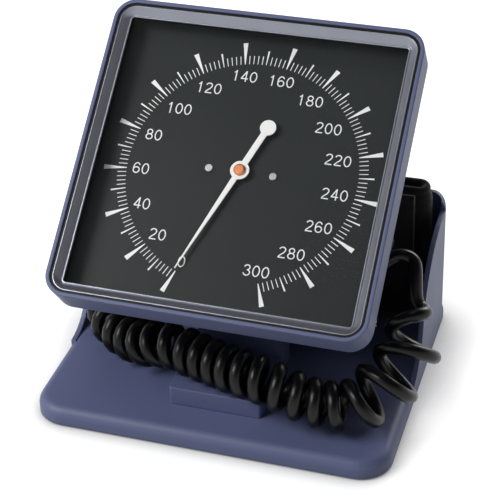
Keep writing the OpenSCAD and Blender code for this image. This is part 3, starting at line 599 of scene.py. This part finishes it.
class GAUGE_OT_case_finish(bpy.types.Operator):
    """Give the stand, the post and the case their moulded plastic, rubber and glass finishes"""

    bl_idname = "gauge.case_finish"
    bl_label = "Finish the case"
    bl_options = {"REGISTER", "UNDO"}

    def execute(self, context):
        case = context.scene.gauge_case
        blue = moulded_plastic("Blue moulding", tuple(case.blue), case.rounding, 0.42)
        black = moulded_plastic("Black moulding", srgb(0.10, 0.10, 0.11), 0.5 * MM, 0.3)
        finish_nodes({
            "stand_shell": blue,
            "tilt_post": blue,
            "rear_case": blue,
            "front_bezel": blue,
            "tilt_knob": black,
            "bezel_seal": rubber("Black seal", srgb(0.06, 0.06, 0.06), 0.45),
            "lens_gasket": rubber("Gasket rubber", srgb(0.08, 0.08, 0.08), 0.6),
            "lens": clear_glass("Dial glass"),
            "rubber_feet": rubber("Foot rubber", srgb(0.16, 0.16, 0.16), 0.7, rounding=0.8 * MM),
            "friction_washers": rubber("Fibre washer", srgb(0.38, 0.33, 0.27), 0.75, 2000.0),
        })
        return {"FINISHED"}


class GAUGE_OT_rim(bpy.types.Operator):
    """Draw the bright rim of the window, with a rounded bead at each edge"""

    bl_idname = "gauge.rim"
    bl_label = "Draw the rim"
    bl_options = {"REGISTER", "UNDO"}

    def execute(self, context):
        bright = metal("Bright rim", srgb(0.56, 0.57, 0.61), 0.30, (90.0, 90.0, 90.0), 0.002 * MM, 0.3 * MM, 0.8)
        flat = GAUGE.inverted()
        corners = [(flat @ v.co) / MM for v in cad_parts["inner_rim"].data.vertices]
        top, outer = max(p.z for p in corners), max(p.x for p in corners)
        inner = min(max(abs(p.x), abs(p.y)) for p in corners)
        low = min(p.z for p in corners if max(abs(p.x), abs(p.y)) < inner + 0.05) + 0.4
        foot, skirt = low - 0.35, outer - 0.02
        # half width, corner radius and height of each ring of the profile, from the window up and over to the skirt
        profile = (
            (inner + 1.3, 1.6, foot), (inner + 0.15, 1.3, foot), (inner - 0.05, 1.2, low),
            (inner + 0.05, 1.3, low + 0.35), (inner + 0.35, 1.5, low + 0.55), (inner + 0.75, 1.8, low + 0.5),
            (inner + 0.95, 2.0, low + 0.2), (inner + 1.5, 2.4, low + 0.55), (outer - 1.5, 6.6, top - 0.8),
            (outer - 0.95, 7.1, top - 0.3), (outer - 0.6, 7.4, top), (outer - 0.2, 7.8, top - 0.05),
            (skirt, 8.0, top - 0.3), (skirt, 8.0, foot),
        )
        bm = bmesh.new()
        rings = [self.ring(bm, *spot) for spot in profile]
        for a, b in zip(rings, rings[1:] + rings[:1]):
            bmesh.ops.bridge_loops(bm, edges=a + b)
        bmesh.ops.recalc_face_normals(bm, faces=bm.faces)
        rim = piece("window_rim", as_mesh(bm, "window_rim", GAUGE), bright, "gauge", angle=35.0)
        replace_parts(rim, "inner_rim")
        return {"FINISHED"}

    def ring(self, bm, half, corner, height, steps=8):
        """The edges of a square with round corners, in millimetres in the gauge's own frame."""
        ring = []
        for k in range(4):
            turn = Matrix.Rotation(k * math.pi / 2, 2)
            for i in range(steps + 1):
                a = i * math.pi / (2 * steps)
                spot = turn @ Vector((half - corner + corner * math.cos(a), half - corner + corner * math.sin(a)))
                ring.append(bm.verts.new(Vector((spot.x, spot.y, height)) * MM))
        return [bm.edges.new((ring[i], ring[(i + 1) % len(ring)])) for i in range(len(ring))]


class GAUGE_OT_metalwork(bpy.types.Operator):
    """Give screws, valves and the movement their brass, steel and chrome"""

    bl_idname = "gauge.metalwork"
    bl_label = "Finish the metalwork"
    bl_options = {"REGISTER", "UNDO"}

    def execute(self, context):
        brass = metal("Polished brass", srgb(0.83, 0.68, 0.38), 0.2)
        steel = metal("Turned steel", srgb(0.72, 0.72, 0.73), 0.28)
        plate = metal("Chrome plate", srgb(0.86, 0.86, 0.88), 0.08, (30.0, 600.0, 600.0), 0.006 * MM, 0.5 * MM)
        spring = metal("Blue spring steel", srgb(0.25, 0.32, 0.55), 0.2)
        kinds = {
            brass: ("movement_base", "movement_bridge", "movement_pillars", "pressure_capsule", "inlet_fitting",
                    "sector_gear", "valve_needle"),
            steel: ("post_screws", "dial_screws", "case_screws", "tilt_bolt", "pillar_screws", "movement_screws",
                    "pinion_spindle", "rocking_shaft", "capsule_pin"),
            plate: ("intake_valve", "release_valve_body", "release_screw"),
            spring: ("hairspring",),
        }
        finish_nodes({node: material for material, nodes in kinds.items() for node in nodes})
        finish_nodes({
            "pointer_cap": metal("Copper cap", srgb(0.85, 0.55, 0.38), 0.3, (300.0, 300.0, 300.0), 0.01 * MM, 0.4 * MM),
            "pointer": ink("White lacquer", srgb(0.97, 0.97, 0.96)),
            "tube_connector": translucent("Coupling plastic"),
            "bladder_ports": rubber("Spout rubber", srgb(0.12, 0.12, 0.12), 0.5),
            "inner_tube": rubber("Inner hose", srgb(0.1, 0.1, 0.1), 0.45),
        })
        return {"FINISHED"}


# Degrees between the points of a digit's curved strokes
ARC_STEP = 15


def arc(x, y, across, up, start, end):
    """Points along part of an ellipse, in degrees; a whole turn comes without its last point."""
    n = max(6, round(abs(end - start) / ARC_STEP))
    turns = [math.radians(start + (end - start) * i / n) for i in range(n if abs(end - start) == 360 else n + 1)]
    return [(x + across * math.cos(a), y + up * math.sin(a)) for a in turns]


# Strokes of the upright digits, in parts of their height about the foot of their middle line
DIGITS = {
    "0": [arc(0, 0.5, 0.222, 0.447, 0, 360)],
    "1": [[(-0.13, 0.765), (-0.03, 0.84), (0.03, 0.95)], [(0.03, 0), (0.03, 1)]],
    "2": [
        arc(0, 0.73, 0.205, 0.218, 172, -25) + [(0.10, 0.47), (-0.06, 0.31), (-0.17, 0.17), (-0.215, 0.055)],
        [(-0.24, 0.0525), (0.245, 0.0525)],
    ],
    "3": [arc(-0.005, 0.735, 0.185, 0.212, 172, -90), arc(0, 0.29, 0.22, 0.2375, 90, -170)],
    "4": [[(0.10, 0.97), (-0.215, 0.285)], [(-0.25, 0.285), (0.26, 0.285)], [(0.11, 0), (0.11, 1)]],
    "6": [arc(0.003, 0.31, 0.215, 0.257, 0, 360), arc(0.01, 0.50, 0.232, 0.447, 35, 190)],
    "8": [arc(0, 0.735, 0.178, 0.2125, 0, 360), arc(0, 0.29, 0.22, 0.2375, 0, 360)],
}
DIGIT_STEP = 0.79
DIGIT_WIDTH = 1.22
DIGIT_STROKE = 0.108
# How far each number stands outside the ring of numbers, in millimetres
NUMBER_SHIFTS = (3.1, 0.9, 1.4, 1.2, 0.6, -1.0, 0.1, 2.0, 1.6, -0.2, -1.8, -1.6, -1.3, -0.6, 0.4, 2.2)
# Marks at every so many units, with their length and their width at the foot and at the tip, in millimetres
MARKS = ((20, 11.5, 0.38, 2.4), (10, 7.4, 0.34, 0.85), (2, 4.4, 0.32, 0.40))
SCALE_START = 159.1
DEGREES_PER_UNIT = 2 * SCALE_START / 300


def on_dial(value, radius, height=0.0):
    """The place of a scale value on the dial, turned so that its Y points outwards."""
    turn = math.radians(SCALE_START - DEGREES_PER_UNIT * value)
    return GAUGE @ Matrix.Rotation(turn, 4, "Z") @ Matrix.Translation((0.0, radius, height))


class GAUGE_OT_dial(bpy.types.Operator):
    """Print the graduation and the numbers on the dial"""

    bl_idname = "gauge.dial"
    bl_label = "Print the dial"
    bl_options = {"REGISTER", "UNDO"}

    def execute(self, context):
        dial = context.scene.gauge_dial
        finish_nodes({"dial_plate": enamel("Dial enamel", tuple(dial.enamel))})
        white = ink("Dial print", srgb(0.97, 0.97, 0.97))
        self.graduation(dial, white)
        self.numbers(dial, white)
        return {"FINISHED"}

    def graduation(self, dial, white):
        bm = bmesh.new()
        for value in range(0, 301, 2):
            length, foot, tip = next([size * MM for size in sizes] for every, *sizes in MARKS if value % every == 0)
            middle = on_dial(value, dial.tick_foot + length / 2, dial.print_height / 2)
            mark = bmesh.ops.create_cube(bm, size=1.0)["verts"]
            for vert in mark:
                width = tip if vert.co.y > 0 else foot
                vert.co = Vector((vert.co.x * width, vert.co.y * length, vert.co.z * dial.print_height))
            bmesh.ops.transform(bm, matrix=middle, verts=mark)
        piece("graduation", as_mesh(bm, "graduation"), white, "gauge", angle=None)

    def numbers(self, dial, white):
        height = dial.digit_height
        curve = bpy.data.curves.new("number_lines", "CURVE")
        curve.dimensions = "3D"
        curve.bevel_depth = height * DIGIT_STROKE / 2
        curve.bevel_resolution = 2
        curve.use_fill_caps = True
        for value, shift in zip(range(0, 301, 20), NUMBER_SHIFTS):
            ring = dial.digit_ring + shift * MM
            turn = math.radians(SCALE_START - DEGREES_PER_UNIT * value)
            middle = Vector((-ring * math.sin(turn), ring * math.cos(turn)))
            word = str(value)
            for i, digit in enumerate(word):
                foot = middle + Vector(((i - (len(word) - 1) / 2) * DIGIT_STEP, -0.5)) * height
                for line in DIGITS[digit]:
                    stroke = curve.splines.new("POLY")
                    stroke.points.add(len(line) - 1)
                    for point, spot in zip(stroke.points, line):
                        point.co = (*(foot + Vector((spot[0] * DIGIT_WIDTH, spot[1])) * height), 0.0, 1.0)
                    stroke.use_cyclic_u = len(line) == 360 // ARC_STEP
        flat = dial.print_height / (height * DIGIT_STROKE)
        place = GAUGE @ Matrix.Translation((0.0, 0.0, dial.print_height / 2)) @ Matrix.Diagonal((1.0, 1.0, flat, 1.0))
        piece("numbers", drawn_mesh(curve, "numbers", place), white, "gauge", angle=None)


class GAUGE_OT_tubes(bpy.types.Operator):
    """Lay the lead, the coiled tube with its tail, and the bulb's tube"""

    bl_idname = "gauge.tubes"
    bl_label = "Lay the tubes"
    bl_options = {"REGISTER", "UNDO"}

    def execute(self, context):
        settings, cuff = context.scene.gauge_tube, context.scene.gauge_cuff
        black = rubber("Tube rubber", tuple(settings.colour), 0.27, 500.0, 0.03 * MM, coat=0.05)
        d = settings.diameter / MM
        coil = curl_line(settings, POINTS_PER_CURL)
        into = (Vector(COIL_ROUTE[1][:3]) - Vector(COIL_ROUTE[0][:3])).normalized()
        rough = curl_line(settings, POINTS_PER_CURL // 2)
        out = (rough[-1] - rough[-2]).normalized()
        start = coil[0] - into * d
        end = coil[-1] + out * d
        port_way = Vector((0.0, math.cos(BACK_LEAN), math.sin(BACK_LEAN)))
        coupling = on_cuff(*CUFF_COUPLING, cuff)
        tail = smooth_route([end + out * d, *TAIL_ROUTE, coupling - port_way * d], 30)
        whole = [start, start.lerp(coil[0], 0.5), *coil, coil[-1].lerp(end, 0.5), end, *tail, coupling]
        # eased at the coil's start, at the joint of coil and tail, and before the coupling
        whole = softened(whole, (1, 16), (len(coil) - 14, len(coil) + 10), (len(whole) - 14, len(whole) - 3))
        self.lay("coiled_air_tube", whole, settings, black, ("coiled_tube", "tube_tail"), "coiled")

        inlet = GAUGE @ (LEAD_INLET * MM) / MM
        way = (GAUGE.to_3x3() @ Vector((0, 0, -1))).normalized()
        lead = [inlet, *smooth_route([inlet + way * d, *LEAD_ROUTE, start - into * d], 42), start]
        obj = self.lay("lead_air_tube", lead, settings, black, ("tube_lead",), "loose", None)
        tuple(lead[-1] * MM)
        tuple(lead[1] * MM)
        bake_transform(obj)

        port = on_cuff(*BULB_PORT, cuff)
        feed = smooth_route([BULB_NOZZLE + Vector((0, 0, d)), *BULB_ROUTE, port - port_way * d], 44)
        self.lay("bulb_air_tube", [BULB_NOZZLE, *feed, port], settings, black, ("bulb_tube",), "loose")
        return {"FINISHED"}

    def lay(self, name, line, settings, material, nodes, lay, body="stand"):
        line = [p * MM for p in line]
        obj = tube(name, line, settings.diameter, material, body)
        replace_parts(obj, *nodes)
        tuple(line[0])
        line_length(line)
        [tuple(p) for p in line]
        return obj


class GAUGE_OT_cuff(bpy.types.Operator):
    """Fold the cuff, with its bladder, binding and hook patch"""

    bl_idname = "gauge.cuff"
    bl_label = "Fold the cuff"
    bl_options = {"REGISTER", "UNDO"}

    def execute(self, context):
        settings = context.scene.gauge_cuff
        cloth = woven("Cuff cloth", tuple(settings.cloth))
        tape = woven("Binding tape", shade(tuple(settings.cloth), 1.25), 0.6)
        self.folds(settings, cloth)
        self.binding(settings, tape)
        self.patch(settings)
        self.bladder(settings)
        return {"FINISHED"}

    def strip(self, settings, steps=CUFF_STEPS):
        """Points and directions along the folded strip, seen from above, with the rear layer first."""
        pitch, layer = settings.pitch / MM, settings.pitch / MM - LAYER_GAP
        half = (settings.length / MM - pitch - layer) / 2
        runs = []
        for i in range(3):
            way = 1 if i % 2 == 0 else -1
            y = -i * pitch - layer / 2
            for k in range(steps + 1):
                runs.append((Vector((way * (-half + 2 * half * k / steps), y)), Vector((way, 0))))
            if i < 2:
                for k in range(1, 8):
                    a = math.pi * k / 8
                    centre = Vector((way * half, y - pitch / 2))
                    spot = Vector((way * math.sin(a), math.cos(a))) * pitch / 2
                    runs.append((centre + spot, Vector((way * math.cos(a), -math.sin(a)))))
        return runs

    def wave(self, s, h):
        """How far the soft layers sway, in millimetres, along the strip and up it."""
        broad = 0.28 * math.sin(s * 0.055 + 0.6) * math.sin(h * 0.05 + 0.3)
        return (broad + 0.22 * math.sin(s * 0.11 + h * 0.04 + 1.7)) * 0.8

    def swell(self, share, least):
        """How full the padding is, from the least at an edge to 1 where the share reaches 1."""
        return least + (1 - least) * math.sqrt(max(0.0, share * (2 - share)))

    def sag(self, s):
        """How far the upper edge rises and falls along the strip, in millimetres."""
        return (0.9 * math.sin(s * 0.028 + 0.4) + 0.5 * math.sin(s * 0.071 + 2.0)) * 0.4

    def columns(self, bm, runs, rows):
        """A new grid's vertices by column, from the foot up, each column with its place along the strip."""
        grid = bmesh.ops.create_grid(bm, x_segments=len(runs) - 1, y_segments=rows, size=1.0)["verts"]
        columns = {}
        for vert in grid:
            columns.setdefault(round(vert.co.x, 5), []).append(vert)
        along, before = 0.0, runs[0][0]
        for (_, column), (spot, way) in zip(sorted(columns.items()), runs):
            column.sort(key=lambda v: v.co.y)
            along += (spot - before).length
            before = spot
            yield column, spot, Vector((-way.y, way.x)), along

    def unwrap(self, bm, uv, flat):
        """Lays the cloth's flat places, in millimetres, in its UV map."""
        for face in bm.faces:
            for loop in face.loops:
                loop[uv].uv = flat[loop.vert]

    def folds(self, settings, cloth):
        height = settings.height / MM
        runs = self.strip(settings)
        rows, edge_rounding, end_rounding, rise = 18, 7.0, 5.0, 0.6
        stitch_inset, stitch_width, stitch_depth = 4.2, 0.7, 0.16
        bm = bmesh.new()
        uv = bm.loops.layers.uv.new("cloth")
        flat = {}
        thick = settings.pitch / MM - 1.2
        # the grid's lower half of rows is the strip's rear skin and its upper half the front skin
        whole = sum((b[0] - a[0]).length for a, b in zip(runs, runs[1:]))
        for column, spot, normal, s in list(self.columns(bm, runs, 2 * rows + 1)):
            ends = min(1.0, (min(s, whole - s) + 0.4) / end_rounding)
            for j, vert in enumerate(column):
                skin = -1 if j <= rows else 1
                t = j / rows if skin < 0 else 1 - (j - rows - 1) / rows
                h = height * t
                edge = min(1.0, min(h, height - h) / edge_rounding)
                body = thick / 2 * self.swell(edge, 0.30) * self.swell(ends, 0.35)
                # a line of stitches runs along each edge
                if edge < 0.75:
                    beside = (min(h, height - h) - stitch_inset) / stitch_width
                    body *= 1.0 - stitch_depth * math.exp(-beside ** 2)
                off = normal * (skin * body + self.wave(s, h))
                z = CUFF_FOOT + h + (self.sag(s) + rise) * t
                vert.co = Vector((spot.x + off.x, spot.y + off.y - CUFF_CLEARANCE, z)) * MM
                flat[vert] = (s, h if skin < 0 else 2 * height - h)
        self.unwrap(bm, uv, flat)
        rim = [e for e in bm.edges if e.is_boundary]
        bottom = [e for e in rim if all(abs(v.co.z / MM - CUFF_FOOT) < 0.01 for v in e.verts)]
        bmesh.ops.bridge_loops(bm, edges=bottom)
        bmesh.ops.holes_fill(bm, edges=[e for e in bm.edges if e.is_boundary], sides=0)
        bmesh.ops.recalc_face_normals(bm, faces=bm.faces)
        obj = piece("folded_cuff", as_mesh(bm, "folded_cuff", CUFF), cloth, None, angle=60.0)
        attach(obj, "stand")
        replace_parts(obj, "cuff")

    def binding(self, settings, tape):
        """A tape folded over the cloth's upper edge."""
        height, sides = settings.height / MM, 12
        half, depth, rise, thickness = 1.75, 5.0, 0.95, 0.35
        bm = bmesh.new()
        uv = bm.loops.layers.uv.new("cloth")
        flat = {}
        for column, spot, normal, s in list(self.columns(bm, self.strip(settings), sides)):
            for j, vert in enumerate(column):
                a = math.pi * j / sides
                wide = half + 0.25 * math.sin(a)
                off = normal * (math.cos(a) * wide + self.wave(s, height))
                drop = depth * (1 - math.sin(a) ** 0.5) if 0 < j < sides else depth
                z = CUFF_FOOT + height + self.sag(s) + rise - drop
                vert.co = Vector((spot.x + off.x, spot.y + off.y - CUFF_CLEARANCE, z)) * MM
                flat[vert] = (s, j * 1.1)
        self.unwrap(bm, uv, flat)
        bmesh.ops.recalc_face_normals(bm, faces=bm.faces)
        bmesh.ops.solidify(bm, geom=list(bm.faces), thickness=thickness * MM)
        piece("cuff_binding", as_mesh(bm, "cuff_binding", CUFF), tape, "stand", angle=60.0)

    def patch(self, settings):
        """The hook patch: a thin puffed pad with round corners on the front layer."""
        low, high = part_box("hook_patch")
        pile = looped("Loop cloth", srgb(0.17, 0.17, 0.18))
        length, height, corner, thickness, sunk = high[0] - low[0], 60 * MM, 3 * MM, 0.7 * MM, 0.15
        bm = bmesh.new()
        bmesh.ops.create_grid(bm, x_segments=14, y_segments=26, size=0.5)
        for vert in bm.verts:
            x, z = vert.co.x * length, vert.co.y * height
            dx, dz = abs(x) - (length / 2 - corner), abs(z) - (height / 2 - corner)
            if dx > 0 and dz > 0:
                k = corner / max(corner, math.hypot(dx, dz))
                x = math.copysign(length / 2 - corner + dx * k, x)
                z = math.copysign(height / 2 - corner + dz * k, z)
            edge = min(length / 2 - abs(x), height / 2 - abs(z))
            puff = 0.5 * MM * min(1.0, edge / (2.5 * MM)) + 0.08 * MM * math.sin(x / MM * 0.7) * math.sin(z / MM * 0.4)
            vert.co = Vector((x, -puff, z))
        bmesh.ops.recalc_face_normals(bm, faces=bm.faces)
        bmesh.ops.solidify(bm, geom=list(bm.faces), thickness=thickness)
        front = -(CUFF_CLEARANCE + 3 * settings.pitch / MM - LAYER_GAP - sunk) * MM
        place = CUFF @ Matrix.Translation(((low[0] + high[0]) / 2, front, 40 * MM))
        mesh = as_mesh(bm, "hook_patch_cloth", place)
        obj = piece("hook_patch_cloth", mesh, pile, "stand", angle=60.0)
        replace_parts(obj, "hook_patch")

    def bladder(self, settings):
        """The bladder: a flat bag with round sides in the middle of the front layer."""
        low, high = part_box("bladder")
        bag = rubber("Bladder rubber", srgb(0.30, 0.30, 0.31), 0.6, 400.0)
        bm = bmesh.new()
        bmesh.ops.create_uvsphere(bm, u_segments=48, v_segments=24, radius=0.5)
        length, height = (high[0] - low[0]) * 0.98, 60 * MM
        for vert in bm.verts:
            x, y, z = vert.co * 2
            k = (abs(x) ** 4 + abs(z) ** 4 + abs(y) ** 4) ** 0.25
            vert.co = Vector((x / k * length / 2, y * 0.85 * MM, z / k * height / 2))
        middle = -(CUFF_CLEARANCE + 2 * settings.pitch / MM + (settings.pitch / MM - LAYER_GAP) / 2) * MM
        place = CUFF @ Matrix.Translation(((low[0] + high[0]) / 2, middle, 40.7 * MM))
        obj = piece("bladder_bag", as_mesh(bm, "bladder_bag", place), bag, "stand", angle=80.0)
        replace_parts(obj, "bladder")


class GAUGE_OT_bulb(bpy.types.Operator):
    """Mould the hand bulb"""

    bl_idname = "gauge.bulb"
    bl_label = "Mould the bulb"
    bl_options = {"REGISTER", "UNDO"}

    def execute(self, context):
        low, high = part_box("bulb")
        centre = (Vector(low) + Vector(high)) / 2
        length, radius = high[0] - low[0], (high[2] - low[2]) / 2
        neck, bore, ribs, rib_height = 7.5 * MM, 4.0 * MM, 50, 0.35 * MM
        skin = rubber("Bulb rubber", srgb(0.11, 0.11, 0.115), 0.42, 1200.0, 0.05 * MM)
        bm = bmesh.new()
        steps = 36
        profile = []
        for i in range(steps + 1):
            t = i / steps
            r = neck + (radius - neck) * math.sin(math.pi * t) ** 0.62
            x = -length / 2 + length * t
            if 0.02 < t < 0.10 or 0.90 < t < 0.98:
                r += rib_height * math.sin(t * 2 * math.pi * ribs)
            profile.append(bm.verts.new((x, 0.0, min(r, radius))))
        first, last = bm.verts.new((-length / 2, 0.0, bore)), bm.verts.new((length / 2, 0.0, bore))
        chain = [first, *profile, last]
        edges = [bm.edges.new(pair) for pair in zip(chain, chain[1:])]
        bmesh.ops.spin(
            bm, geom=chain + edges, cent=(0, 0, 0), axis=(1, 0, 0), angle=2 * math.pi, steps=56, use_merge=True
        )
        bmesh.ops.remove_doubles(bm, verts=bm.verts, dist=0.001 * MM)
        bmesh.ops.holes_fill(bm, edges=[e for e in bm.edges if e.is_boundary], sides=0)
        bmesh.ops.recalc_face_normals(bm, faces=bm.faces)
        mesh = as_mesh(bm, "hand_bulb", Matrix.Translation(centre))
        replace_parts(piece("hand_bulb", mesh, skin, "stand", angle=50.0), "bulb")
        return {"FINISHED"}


LENS = 116.2
CAMERA_PLACE = (0.2013, -0.6391, 0.5060)
CAMERA_SIDE, CAMERA_RISE, CAMERA_ROLL = math.radians(17.26), math.radians(33.05), math.radians(-1.04)
# The way to a painted reflection panel in the sky, which the dial's glass mirrors at the photograph's angle; it lights
# nothing
REFLECTION_PANEL_WAY = (-0.235, -0.325, 0.916)


class GAUGE_OT_stage(bpy.types.Operator):
    """Set the floor, the lamps and the camera at the photograph's angle"""

    bl_idname = "gauge.stage"
    bl_label = "Set the stage"
    bl_options = {"REGISTER", "UNDO"}

    def execute(self, context):
        scene, stage = context.scene, context.scene.gauge_stage
        scene.view_settings.view_transform = "Standard"
        self.camera(scene)
        self.floor()
        self.sky(scene, stage)
        self.lamp("Key lamp", stage.key_power, 0.6, (-0.70, -0.60, 0.85), (0.0, 0.0, 0.07))
        self.lamp("Rear lamp", stage.rear_power, 0.6, (0.40, 1.15, 0.55), (0.0, 0.0, 0.06))
        self.lamp("Top lamp", stage.fill_power, 0.5, (-0.1, 0.15, 1.3), (0.0, 0.0, 0.06))
        return {"FINISHED"}

    def camera(self, scene):
        lens = bpy.data.cameras.new("Camera")
        lens.lens, lens.sensor_width = LENS, 36.0
        lens.clip_start, lens.clip_end = 0.05, 20.0
        eye = bpy.data.objects.new("Camera", lens)
        scene.collection.objects.link(eye)
        side, rise, roll = CAMERA_SIDE, CAMERA_RISE, CAMERA_ROLL
        back = Vector((math.sin(side) * math.cos(rise), -math.cos(side) * math.cos(rise), math.sin(rise)))
        right = Vector((math.cos(side), math.sin(side), 0.0))
        up = right.cross(-back)
        across = math.cos(roll) * right + math.sin(roll) * up
        upright = -math.sin(roll) * right + math.cos(roll) * up
        turn = Matrix((across, upright, back)).transposed().to_4x4()
        eye.matrix_world = Matrix.Translation(CAMERA_PLACE) @ turn
        scene.camera = eye

    def floor(self):
        """A pale floor that shows as white away from the object, and keeps its shadow; near the object the white glow
        darkens by ambient occlusion, a painted contact shadow.
        """
        bm = bmesh.new()
        bmesh.ops.create_grid(bm, x_segments=1, y_segments=1, size=3.0)
        mesh = as_mesh(bm, "floor")
        f = Finish("Pale floor")
        cloud = f.noise(f.place(), 3.0, 2.0)
        f.set(Base_Color=f.mix(cloud, srgb(0.66, 0.66, 0.665), srgb(0.68, 0.68, 0.68)), Roughness=0.9 + cloud * 0.05,
              Specular_IOR_Level=0.0)
        # painted contact shadow: ambient occlusion darkens the glow that the camera, gloss and glass see near the
        # object
        near = f.node("ShaderNodeAmbientOcclusion", {"samples": 8, "only_local": False}, {"Distance": 26 * MM})
        painted_shadow_ao = f.value(near, "AO")
        glow_with_painted_shadow = f.mix(painted_shadow_ao * painted_shadow_ao, (0.06, 0.06, 0.065, 1.0), (0.92, 0.92, 0.92, 1.0))
        white = f.node("ShaderNodeEmission", None, {"Color": glow_with_painted_shadow, "Strength": 1.0})
        both = f.node("ShaderNodeAddShader", None, [f.shader.outputs[0], white.outputs[0]])
        pick = f.node("ShaderNodeMixShader", None, [f.seen(), f.shader.outputs[0], both.outputs[0]])
        f.put(f.output.inputs[0], pick.outputs[0])
        mesh.materials.append(f.material)
        ground = bpy.data.objects.new("Floor", mesh)
        bpy.context.scene.collection.objects.link(ground)
        ground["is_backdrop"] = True

    def sky(self, scene, stage):
        """A backdrop that is white near the floor, under a dim ceiling with one soft panel, all seen only by the
        camera, in gloss and through glass; the panel is a painted reflection that lights nothing, and all other rays
        get the even sky.
        """
        world = bpy.data.worlds.new("Studio")
        world.use_nodes = True
        scene.world = world
        f = NodeTree(world.node_tree)
        way = f.node("ShaderNodeTexCoord").outputs["Generated"]
        height = f.value(f.node("ShaderNodeSeparateXYZ", None, [way]), 2)
        soft = {"interpolation_type": "SMOOTHSTEP"}
        ramp = f.node("ShaderNodeMapRange", soft, [height, 0.15, 0.62, 1.0, 0.072])
        # painted reflection: a soft bright patch that only the camera, gloss and glass see, and that lights nothing
        lean = f.node("ShaderNodeVectorMath", {"operation": "DOT_PRODUCT"}, [way, REFLECTION_PANEL_WAY])
        panel = f.node("ShaderNodeMapRange", soft, [f.value(lean, "Value"), 0.9925, 1.0, 0.0, 1.0])
        bright = f.value(ramp) + f.value(panel) * 0.92
        strength = stage.sky + f.seen() * (bright - stage.sky)
        back = f.node("ShaderNodeBackground", None, {"Color": (1.0, 1.0, 1.0, 1.0), "Strength": strength})
        f.node("ShaderNodeOutputWorld", None, [back.outputs[0]])

    def lamp(self, name, power, size, place, aim):
        light = bpy.data.lights.new(name, "AREA")
        light.energy, light.size = power, size
        lamp = bpy.data.objects.new(name, light)
        bpy.context.scene.collection.objects.link(lamp)
        lamp.location = place
        lamp.rotation_euler = (Vector(aim) - Vector(place)).to_track_quat("-Z", "Y").to_euler()


OPERATORS = (
    GAUGE_OT_stage,
    GAUGE_OT_tubes,
    GAUGE_OT_case_finish,
    GAUGE_OT_rim,
    GAUGE_OT_metalwork,
    GAUGE_OT_dial,
    GAUGE_OT_cuff,
    GAUGE_OT_bulb,
)


class GAUGE_PT_pieces(bpy.types.Panel):
    bl_label = "Desk gauge"
    bl_idname = "GAUGE_PT_pieces"
    bl_space_type = "VIEW_3D"
    bl_region_type = "UI"
    bl_category = "Gauge"

    def draw(self, context):
        for name in SETTINGS:
            box = self.layout.box()
            group = getattr(context.scene, name)
            for prop in group.__annotations__:
                box.prop(group, prop)
        for operator in OPERATORS:
            self.layout.operator(operator.bl_idname)


def register():
    for group in SETTINGS.values():
        bpy.utils.register_class(group)
    for name, group in SETTINGS.items():
        setattr(bpy.types.Scene, name, bpy.props.PointerProperty(type=group))
    for operator in OPERATORS:
        bpy.utils.register_class(operator)
    bpy.utils.register_class(GAUGE_PT_pieces)


def unregister():
    bpy.utils.unregister_class(GAUGE_PT_pieces)
    for operator in reversed(OPERATORS):
        bpy.utils.unregister_class(operator)
    for name in SETTINGS:
        delattr(bpy.types.Scene, name)
    for group in reversed(SETTINGS.values()):
        bpy.utils.unregister_class(group)


def main():
    register()
    for operator in OPERATORS:
        group, call = operator.bl_idname.split(".")
        getattr(getattr(bpy.ops, group), call)()
    plain = [[list(map(float, corner)) for corner in box] for box in (CAD_BOUNDS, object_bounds())]


if __name__ == "__main__":
    main()
